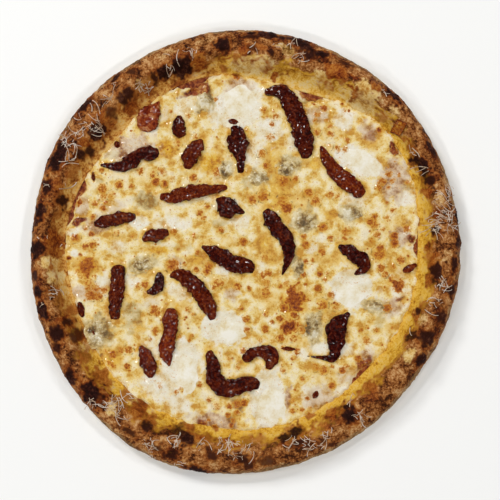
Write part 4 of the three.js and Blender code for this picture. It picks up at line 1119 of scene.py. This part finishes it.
def melt_cheese():
    """The melted sheet, painted with its colours, on a square grid that is drawn out to a round one."""
    step = np.linspace(-1, 1, CHEESE_GRID)
    u, v = np.meshgrid(step, step)
    wide = np.abs(u) > np.abs(v)
    share = np.where(wide, u, v)
    safe = np.where(share == 0, 1, share)
    bearing = np.where(wide, np.pi / 4 * v / safe, np.pi / 2 - np.pi / 4 * u / safe)
    bearing = np.where(share < 0, bearing + np.pi, bearing)
    share = np.abs(share)
    cos, sin = np.cos(bearing), np.sin(bearing)
    rough_place = np.stack([120 * cos, 120 * sin, 0 * cos], axis=-1)
    rim = dish_radius(bearing) + 0.6 - sauce_bays(bearing)
    rim = rim + 1.6 * bumpy(rough_place, 9, 21) + 0.8 * bumpy(rough_place, 3, 22)
    x, y = rim * share * cos, rim * share * sin
    flat = np.stack([x, y, 0 * x], axis=-1)
    across, down = wandering(flat, 0.9, 54)
    ragged = 0.3 * bumpy(flat, 5, 23) + 0.12 * bumpy(flat, 2, 24)
    gap = gap_to_strips(x, y)
    fields = {field: cover(across, down, marks, ragged) for field, marks in CHEESE_MARKS.items()}
    crisp_pools = cover(across, down, POOL_MARKS, 0.2 * ragged, 0.85, 1.1)
    fields["white"] = np.maximum(fields["white"], crisp_pools)
    blistered = cover(across, down, spots(BROWNED), full=0.8, gone=2.1)
    fields["browned"] = cover(across, down, BROWN_PATCHES, 1.5 * ragged)
    near_strips = 0.6 * np.exp(-(gap / 2.2) ** 2) * (1 + 2 * ragged)
    fields["golden"] = np.maximum(np.maximum(fields["golden"], near_strips), 0.75 * blistered)
    inset = rim * (1 - share)
    near_edge = cover(across, down, spots(BROWNED), ragged, 0.2, 1.3) * (1 - smooth_step(5, 9, inset))
    fields["browned"] = np.maximum(fields["browned"], 0.9 * near_edge)
    calm = 1 - cover(x, y, MOZZARELLA_OVALS, full=0.9, gone=1.25)
    relief = 0.35 * bumpy(flat, 11, 25) + 0.24 * bumpy(flat, 4, 26) + 0.1 * bumpy(flat, 1.9, 27)
    top = cheese_top(x, y) + calm * relief + 0.5 * np.exp(-(gap / 1.5) ** 2) + 0.4 * fields["browned"]
    drop = 1 - smooth_step(0, 3.2, inset)
    top = top - drop * (top - CHEESE_UNDERSIDE + SKIRT_DROP)
    top = np.maximum(top, CHEESE_UNDERSIDE + 0.02)
    grid = np.stack([x, y, top], axis=-1)
    ring = border(CHEESE_GRID)
    rim_places = grid.reshape(-1, 3)[ring]
    rim_places[:, 2] = CHEESE_UNDERSIDE - SKIRT_DROP
    places = np.concatenate([grid.reshape(-1, 3), rim_places, [[0, 0, CHEESE_UNDERSIDE - SKIRT_DROP]]])
    below = range(CHEESE_GRID ** 2, CHEESE_GRID ** 2 + len(ring))
    faces = sheet_faces(CHEESE_GRID, CHEESE_GRID, closed=False)
    faces += skirt_faces(ring, below) + fan_faces(len(places) - 1, below)
    fields = {
        field: np.concatenate([values.ravel(), values.ravel()[ring], [0]]) for field, values in fields.items()
    }
    return make_piece("melted_cheese_sheet", places, faces, CHEESE, fields)


# ------------------------------------------------------------------ melted lumps on the cheese

LUMP_RINGS = 44
LUMP_SIDES = 120


def melted_lump(name, oval, thickness, waviness, crumbs, material, seed):
    """An oval dome that thins out into the cheese, with lumps up to `crumbs` mm high."""
    centre_x, centre_y, length, width, heading = oval
    around = np.arange(LUMP_SIDES) * 2 * np.pi / LUMP_SIDES
    share = np.linspace(1 / LUMP_RINGS, 1, LUMP_RINGS)[:, None]
    ripple = 1 + waviness * np.sin(3 * around + centre_x) * np.cos(2 * around + centre_y)
    outline = np.stack([np.cos(around) * 6, np.sin(around) * 6, 0 * around + seed], axis=-1)
    ripple = ripple * (1 + 0.1 * bumpy(outline, 4, 31))
    long = share * np.cos(around) * ripple * length / 2
    wide = share * np.sin(around) * ripple * width / 2
    x, y = turned(centre_x, centre_y, long, wide, heading)
    flat = np.stack([x, y, 0 * x], axis=-1)
    dome = thickness * (1 - share ** 2) ** 1.5 + crumbs * bumpy(flat, 3.2, seed) * (1 - share ** 4)
    top = cheese_top(x, y) + np.maximum(dome, -0.1) - 0.15
    grid = np.stack([x, y, top], axis=-1)
    low = grid[-1].copy()
    low[:, 2] -= 0.4
    poles = [[centre_x, centre_y, float(level)] for level in (grid[0, :, 2].mean(), low[:, 2].min())]
    places = np.concatenate([grid.reshape(-1, 3), low, poles])
    brim = smooth_step(0.45, 0.95, share) + 0 * x
    brim = np.concatenate([brim.ravel(), np.ones(LUMP_SIDES), [0, 0]])
    return make_piece(name, places, capped_faces(LUMP_RINGS + 1, LUMP_SIDES), material, {"brim": brim})


# ------------------------------------------------------------------ what is strewn or boils up

# Half the length of each kind of shred and how far its middle bows out, in metres.
SHRED_KINDS = [
    (0.001, 0.0002), (0.0015, -0.0004), (0.0022, 0.0004), (0.0028, -0.0009), (0.0035, 0.0005),
    (0.0048, -0.0015),
]
SHREDS_PER_SQUARE_METRE = 160000
BLISTER_SPREAD = 1.5  # how much wider a blister is than its dark middle
BLISTER_MARGIN = 4  # how far a blister stays from the sheet's edge, in mm
DROP_HEIGHT = 0.1  # above everything, in metres


def new_recipe(name, *sockets):
    """A Geometry Nodes tree with named inputs and one geometry output."""
    tree = bpy.data.node_groups.new(name, "GeometryNodeTree")
    for socket, kind in sockets:
        tree.interface.new_socket(socket, in_out="INPUT", socket_type=f"NodeSocket{kind}")
    tree.interface.new_socket("Pieces", in_out="OUTPUT", socket_type="NodeSocketGeometry")
    return tree, add_node(tree, "NodeGroupInput").outputs


def drop_onto(tree, pieces, ground, own_height):
    """Drops every point onto the ground from above; it keeps its own height over what it hits."""
    place = add_node(tree, "GeometryNodeInputPosition").outputs[0]
    parts = add_node(tree, "ShaderNodeSeparateXYZ", {0: place}).outputs
    above = add_node(tree, "ShaderNodeCombineXYZ", {0: parts[0], 1: parts[1], 2: DROP_HEIGHT}).outputs[0]
    struck = add_node(tree, "GeometryNodeRaycast", {
        "Target Geometry": ground, "Source Position": above, "Ray Direction": (0, 0, -1),
        "Ray Length": 2 * DROP_HEIGHT,
    }).outputs
    ground_height = add_node(tree, "ShaderNodeSeparateXYZ", {0: struck["Hit Position"]}).outputs[2]
    level = add_node(tree, "ShaderNodeMath", {0: ground_height, 1: own_height}, operation="ADD").outputs[0]
    level = add_node(tree, "GeometryNodeSwitch", {0: struck["Is Hit"], 1: parts[2], 2: level},
                     input_type="FLOAT").outputs[0]
    resting = add_node(tree, "ShaderNodeCombineXYZ", {0: parts[0], 1: parts[1], 2: level}).outputs[0]
    return add_node(tree, "GeometryNodeSetPosition", {"Geometry": pieces, "Position": resting}).outputs[0]


def follow_recipe(tree, name, mesh, pieces, material, sizes):
    """Ends the tree, runs it on a mesh and gives the result as a plain piece."""
    dressed = add_node(tree, "GeometryNodeSetMaterial", {"Geometry": pieces, "Material": material}).outputs[0]
    add_node(tree, "NodeGroupOutput", {0: dressed}, is_active_output=True)
    piece = show(name, mesh)
    modifier = piece.modifiers.new("recipe", "NODES")
    modifier.node_group = tree
    for item in tree.interface.items_tree:
        if item.name in sizes:
            modifier[item.identifier] = sizes[item.name]
    evaluated = piece.evaluated_get(bpy.context.evaluated_depsgraph_get())
    result = bpy.data.meshes.new_from_object(evaluated)
    piece.modifiers.clear()
    piece.data = result
    result.name = name
    result.shade_smooth()
    return piece


def scatter_shreds(name, ground, shreds_per_square_metre, seed):
    """Shreds strewn over a piece where its heap field is strong, each lying on the piece."""
    tree, given = new_recipe(name, ("Ground", "Geometry"), ("Shreds per square metre", "Float"),
                             ("Shred thickness", "Float"), ("Heap height", "Float"), ("Seed", "Int"))
    heap = add_node(tree, "GeometryNodeInputNamedAttribute", {"Name": "heap"}).outputs[0]
    density = add_node(tree, "ShaderNodeMath", {0: heap, 1: given["Shreds per square metre"]},
                       operation="MULTIPLY").outputs[0]
    strewn = add_node(tree, "GeometryNodeDistributePointsOnFaces", {
        "Mesh": given["Ground"], "Density": density, "Seed": given["Seed"],
    }).outputs
    radius = add_node(tree, "ShaderNodeMath", {0: given["Shred thickness"], 1: 0.5},
                      operation="MULTIPLY").outputs[0]
    section = add_node(tree, "GeometryNodeCurvePrimitiveCircle", {
        "Resolution": 5, "Radius": radius,
    }).outputs[0]
    kinds = add_node(tree, "GeometryNodeJoinGeometry")
    for half, bow in SHRED_KINDS:
        line = add_node(tree, "GeometryNodeCurveQuadraticBezier", {
            "Resolution": 7, "Start": (-half, 0, 0), "Middle": (half / 4, 2 * bow, 0),
            "End": (half, bow / 2, 0),
        }).outputs[0]
        shred = add_node(tree, "GeometryNodeCurveToMesh", {
            "Curve": line, "Profile Curve": section, "Fill Caps": True,
        }).outputs[0]
        place = add_node(tree, "GeometryNodeInputPosition").outputs[0]
        height = add_node(tree, "ShaderNodeSeparateXYZ", {0: place}).outputs[2]
        marked = add_node(tree, "GeometryNodeStoreNamedAttribute", {
            "Geometry": shred, "Name": "height", "Value": height,
        }).outputs[0]
        alone = add_node(tree, "GeometryNodeGeometryToInstance", {0: marked}).outputs[0]
        tree.links.new(alone, kinds.inputs[0])
    pick = add_node(tree, "FunctionNodeRandomValue", {4: 0, 5: len(SHRED_KINDS) - 1, "Seed": 1},
                    data_type="INT").outputs[2]
    spin = add_node(tree, "FunctionNodeRandomValue", {
        0: (0, 0, 0), 1: (0, 0, 2 * math.pi), "Seed": 2,
    }, data_type="FLOAT_VECTOR").outputs[0]
    size, tier = (
        add_node(tree, "FunctionNodeRandomValue", {2: low, 3: high, "Seed": own_seed},
                 data_type="FLOAT").outputs[1]
        for low, high, own_seed in ((0.6, 1.25, 3), (0, 1, 4)))
    laid = add_node(tree, "GeometryNodeInstanceOnPoints", {
        "Points": strewn["Points"], "Instance": kinds.outputs[0], "Pick Instance": True,
        "Instance Index": pick, "Rotation": spin, "Scale": size,
    }).outputs[0]
    stacked = add_node(tree, "GeometryNodeStoreNamedAttribute", {
        "Geometry": laid, "Name": "tier", "Value": tier,
    }, domain="INSTANCE").outputs[0]
    real = add_node(tree, "GeometryNodeRealizeInstances", {"Geometry": stacked}).outputs[0]
    own_height, own_tier = (
        add_node(tree, "GeometryNodeInputNamedAttribute", {"Name": field}).outputs[0]
        for field in ("height", "tier"))
    heaped = add_node(tree, "ShaderNodeMath", {0: own_tier, 1: given["Heap height"], 2: own_height},
                      operation="MULTIPLY_ADD").outputs[0]
    dropped = drop_onto(tree, real, given["Ground"], heaped)
    return follow_recipe(tree, name, ground.data.copy(), dropped, HARD_CHEESE, {
        "Shreds per square metre": shreds_per_square_metre, "Shred thickness": 0.00045,
        "Heap height": 0.0008, "Seed": seed,
    })


def blister_spots(name):
    """A point for each browned spot well inside the sheet and off its large browned patches."""
    marks = np.array(BROWNED)
    x, y = on_pizza(marks[:, 0], marks[:, 1])
    bearing = np.arctan2(y, x)
    reach = np.hypot(x, y) + BLISTER_SPREAD * PIXEL * marks[:, 2]
    lying = reach < dish_radius(bearing) - sauce_bays(bearing) - BLISTER_MARGIN
    lying &= cover(marks[:, 0], marks[:, 1], BROWN_PATCHES) < 0.3
    marks, x, y = marks[lying], x[lying], y[lying]
    mesh = bpy.data.meshes.new(name)
    mesh.from_pydata(in_metres(np.stack([x, y, 0 * x], axis=1)).tolist(), [], [])
    paint(mesh, "radius", marks[:, 2] * BLISTER_SPREAD * PIXEL / 1000)
    paint(mesh, "strength", marks[:, 3])
    return mesh


def boil_blisters(name, sheet):
    """Small browned domes that lie on the cheese, where BROWNED has them, in the cheese's own finish."""
    tree, given = new_recipe(name, ("Spots", "Geometry"), ("Sheet", "Object"), ("Blister height", "Float"))
    dome = add_node(tree, "GeometryNodeMeshUVSphere", {"Segments": 12, "Rings": 6, "Radius": 1}).outputs[0]
    place = add_node(tree, "GeometryNodeInputPosition").outputs[0]
    parts = add_node(tree, "ShaderNodeSeparateXYZ", {0: place}).outputs
    flat = add_node(tree, "ShaderNodeCombineXYZ", {0: parts[0], 1: parts[1]}).outputs[0]
    off_middle = add_node(tree, "ShaderNodeVectorMath", {0: flat}, operation="LENGTH").outputs["Value"]
    # The cube of a ball's height is a low dome that thins out to a feather edge.
    rise = add_node(tree, "ShaderNodeMath", {0: parts[2], 1: 3}, operation="POWER").outputs[0]
    for field, value in (("rise", rise), ("off_middle", off_middle)):
        dome = add_node(tree, "GeometryNodeStoreNamedAttribute", {
            "Geometry": dome, "Name": field, "Value": value,
        }).outputs[0]
    radius, height, ring, strength = (
        add_node(tree, "GeometryNodeInputNamedAttribute", {"Name": field}).outputs[0]
        for field in ("radius", "rise", "off_middle", "strength"))
    laid = add_node(tree, "GeometryNodeInstanceOnPoints", {
        "Points": given["Spots"], "Instance": dome, "Scale": radius,
    }).outputs[0]
    real = add_node(tree, "GeometryNodeRealizeInstances", {"Geometry": laid}).outputs[0]
    # The outline is pushed about, so that no two blisters are alike.
    push = add_node(tree, "ShaderNodeTexNoise", {"Scale": per_metre(3), "Detail": 2}).outputs["Color"]
    push = add_node(tree, "ShaderNodeVectorMath", {0: push, 1: (0.5, 0.5, 0.5)},
                    operation="SUBTRACT").outputs[0]
    push = add_node(tree, "ShaderNodeVectorMath", {0: push, "Scale": 0.0028}, operation="SCALE").outputs[0]
    pushed = add_node(tree, "GeometryNodeSetPosition", {"Geometry": real, "Offset": push}).outputs[0]
    sheet_shape = add_node(tree, "GeometryNodeObjectInfo", {"Object": given["Sheet"]}).outputs["Geometry"]
    above = add_node(tree, "ShaderNodeMath", {0: height, 1: given["Blister height"], 2: -0.00003},
                     operation="MULTIPLY_ADD").outputs[0]
    dropped = drop_onto(tree, pushed, sheet_shape, above)
    # A blister is brownest in a ring round its middle and pales into the cheese at its foot.
    inside = add_node(tree, "ShaderNodeMapRange", {
        "Value": ring, "From Min": 0.15, "From Max": 0.6, "To Min": 0.72,
    }, interpolation_type="SMOOTHSTEP").outputs[0]
    outside = add_node(tree, "ShaderNodeMapRange", {
        "Value": ring, "From Min": 0.98, "From Max": 0.1,
    }).outputs[0]
    browned = add_node(tree, "ShaderNodeMath", {0: inside, 1: outside}, operation="MULTIPLY").outputs[0]
    browned = add_node(tree, "ShaderNodeMath", {0: browned, 1: strength}, operation="MULTIPLY").outputs[0]
    painted = add_node(tree, "GeometryNodeStoreNamedAttribute", {
        "Geometry": dropped, "Name": "browned", "Value": browned,
    }).outputs[0]
    for field in CHEESE_MARKS:
        value = add_node(tree, "GeometryNodeInputNamedAttribute", {"Name": field}).outputs[0]
        below = add_node(tree, "GeometryNodeSampleNearestSurface", {
            "Mesh": sheet_shape, "Value": value,
        }).outputs[0]
        painted = add_node(tree, "GeometryNodeStoreNamedAttribute", {
            "Geometry": painted, "Name": field, "Value": below,
        }).outputs[0]
    return follow_recipe(tree, name, blister_spots(name), painted, CHEESE, {
        "Sheet": sheet, "Blister height": 0.00045,
    })


def paint_heaps(ground, marks):
    """Paints the heap field, from which shreds are strewn, on a piece's upper side."""
    mesh = ground.data
    places = np.empty(len(mesh.vertices) * 3, np.float32)
    mesh.vertices.foreach_get("co", places)
    normals = np.empty(len(mesh.vertices) * 3, np.float32)
    mesh.vertices.foreach_get("normal", normals)
    places = places.reshape(-1, 3) * 1000
    across, down = seen(places[:, 0] + BOX_MIDDLE[0], places[:, 1] + BOX_MIDDLE[1])
    facing_up = smooth_step(0.2, 0.6, normals.reshape(-1, 3)[:, 2])
    heap = cover(across, down, marks, full=0.3, gone=1.6) * facing_up
    paint(mesh, "heap", heap * (places[:, 2] > BELLY_HEIGHT))


# ------------------------------------------------------------------ small pieces

SCRAP_GRID = 25


def small_bit(name, x, y, level, half_length, half_width, height, heading, material, fields, seed):
    """A wrinkled lump, half sunk at a level."""
    shape = bmesh.new()
    bmesh.ops.create_icosphere(shape, subdivisions=4, radius=1)
    places = np.array([vertex.co for vertex in shape.verts])
    faces = [[vertex.index for vertex in face.verts] for face in shape.faces]
    shape.free()
    places = places * (1 + 0.16 * bumpy(places, 0.7, seed))[:, None]
    long, wide = places[:, 0] * half_length, places[:, 1] * half_width
    places = np.stack([*turned(x, y, long, wide, heading), level + places[:, 2] * height], axis=-1)
    fields = {field: np.full(len(places), value) for field, value in fields.items()}
    fields["along"], fields["across"], fields["fold"] = long, wide, bumpy(places, 2, seed)
    return make_piece(name, places, faces, material, fields)


def browned_scrap(name, x, y):
    """A square scrap of browned cheese that lies on the rim, fried hard and curled at its corners."""
    steps = np.linspace(-1, 1, SCRAP_GRID)
    u, v = np.meshgrid(steps, steps)
    edge = 0.25 * bumpy(np.stack([3 * u, 3 * v, 0 * u], axis=-1), 1.5, 71)
    long, wide = u * SCRAP["length"] / 2 + edge, v * SCRAP["width"] / 2 - edge
    place_x, place_y = turned(x, y, long, wide, SCRAP["heading"])
    bearing = np.arctan2(place_y, place_x)
    inset = edge_radius(bearing) - np.hypot(place_x, place_y)
    below = crust_point(bearing, inset)[..., 2]
    top = below + 1.4 + 0.6 * np.abs(u * v) + 0.25 * bumpy(np.stack([long, wide, 0 * u], axis=-1), 2, 72)
    places = np.concatenate([
        np.stack([place_x, place_y, height], axis=-1).reshape(-1, 3) for height in (top, below - 0.6)
    ])
    apart = SCRAP_GRID ** 2
    ring = border(SCRAP_GRID)
    faces = sheet_faces(SCRAP_GRID, SCRAP_GRID, closed=False)
    faces += sheet_faces(SCRAP_GRID, SCRAP_GRID, first=apart, closed=False)
    faces += skirt_faces(ring, [place + apart for place in ring])
    fields = {field: np.zeros(len(places)) for field in CHEESE_MARKS}
    fields["browned"] = np.tile(0.5 + 0.4 * np.maximum(np.abs(u), np.abs(v)).ravel() ** 6, 2)
    return make_piece(name, places, faces, CHEESE, fields)


# ------------------------------------------------------------------ the pizza is put together

dough = bake_crust()
cheese = melt_cheese()
blisters = boil_blisters("cheese_blisters", cheese)
serve(dough, "crust", "crust")
serve(cheese, "melted_cheese", "melted_cheese")
serve(blisters, "melted_cheese", "melted_cheese")

for number, (line, tone) in enumerate(zip(TOMATO_STRIPS, STRIP_TONES), 1):
    strip = lay_tomato(f"dried_tomato_{number}", line, STRIP_SWELL, number,
                       {"tone": tone, "strip": 5.3 * number}, DRIED_TOMATO)
    serve(strip, "sun_dried_tomato", f"tomato_strip_{number}")

for number, oval in enumerate(MOZZARELLA_POOLS, 1):
    pool = melted_lump(f"mozzarella_{number}", oval, 0.8, 0.1, 0.03, MOZZARELLA, 40 + number)
    serve(pool, "mozzarella", f"mozzarella_pool_{number}")

for number, oval in enumerate(BLUE_CHEESES, 1):
    lump = melted_lump(f"blue_cheese_lump_{number}", oval, 1.3, 0.2, 0.5, BLUE_CHEESE, 60 + number)
    serve(lump, "blue_cheese", f"blue_cheese_{number}")

flesh = lay_tomato("tomato_flesh_piece", TOMATO_FLESH, FLESH_SWELL, 30, {}, COOKED_TOMATO)
serve(flesh, "tomato_flesh", "tomato_flesh")

for number, (px, py, half_length, half_width, heading) in enumerate(TOMATO_BITS, 1):
    x, y = on_pizza(px, py)
    level = float(cheese_top(np.array(x), np.array(y))) + 0.2
    bit = small_bit(f"tomato_bit_{number}", x, y, level, half_length * PIXEL, half_width * PIXEL, 1.1,
                    heading, DRIED_TOMATO, {"tone": 0.35, "strip": 3.3 * number}, 90 + number)
    serve(bit, "sun_dried_tomato", "melted_cheese")

scrap_x, scrap_y, _ = crust_point(math.radians(SCRAP["bearing"]), SCRAP["inset"])
scrap = browned_scrap("browned_scrap", scrap_x, scrap_y)
serve(scrap, "crust", "crust")

paint_heaps(dough, spots(GRATED))
shreds = scatter_shreds("grated_shreds", dough, SHREDS_PER_SQUARE_METRE, 3)
serve(shreds, "crust", "crust")

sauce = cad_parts["tomato_sauce"]
sauce.data.materials.clear()
sauce.data.materials.append(SAUCE)

# ------------------------------------------------------------------ floor and studio light

FLOOR_LEVEL = -0.0001
FLOOR_REACH = 1.5
KEY_LIGHT_PLACE = (-1.1, 1.2, 1.65)
RING_LIGHTS = {"count": 7, "radius": 1.3, "height": 1.9, "first bearing": 20}
SKY_STRENGTH = 0.2


def pale_floor():
    # Matt white studio board.
    material, _, shader, _ = new_finish("matt_white_board", Roughness=0.9)
    shader.inputs["Base Color"].default_value = linear("#f4f4f2")
    mesh = bpy.data.meshes.new("floor")
    corners = [
        (x * FLOOR_REACH, y * FLOOR_REACH, FLOOR_LEVEL) for x, y in ((-1, -1), (1, -1), (1, 1), (-1, 1))
    ]
    mesh.from_pydata(corners, [], [(0, 1, 2, 3)])
    mesh.materials.append(material)
    floor = show("floor", mesh)


def soft_light(name, place, size, power):
    """A square lamp that faces the pizza's middle."""
    light = bpy.data.lights.new(name, "AREA")
    light.size = size
    light.energy = power
    lamp = show(name, light)
    lamp.location = place
    lamp.rotation_euler = (-Vector(place)).to_track_quat("-Z", "Y").to_euler()


pale_floor()
soft_light("key_light", KEY_LIGHT_PLACE, 0.45, 16)
for number in range(RING_LIGHTS["count"]):
    bearing = math.radians(RING_LIGHTS["first bearing"] + 360 / RING_LIGHTS["count"] * number)
    x, y = RING_LIGHTS["radius"] * math.cos(bearing), RING_LIGHTS["radius"] * math.sin(bearing)
    soft_light(f"ring_light_{number + 1}", (x, y, RING_LIGHTS["height"]), 0.2, 5.8)
world = bpy.data.worlds.new("studio")
world.use_nodes = True
world.node_tree.nodes["Background"].inputs[0].default_value = linear("#ffffff")
world.node_tree.nodes["Background"].inputs[1].default_value = SKY_STRENGTH
bpy.context.scene.world = world
bpy.context.scene.view_settings.view_transform = "Standard"
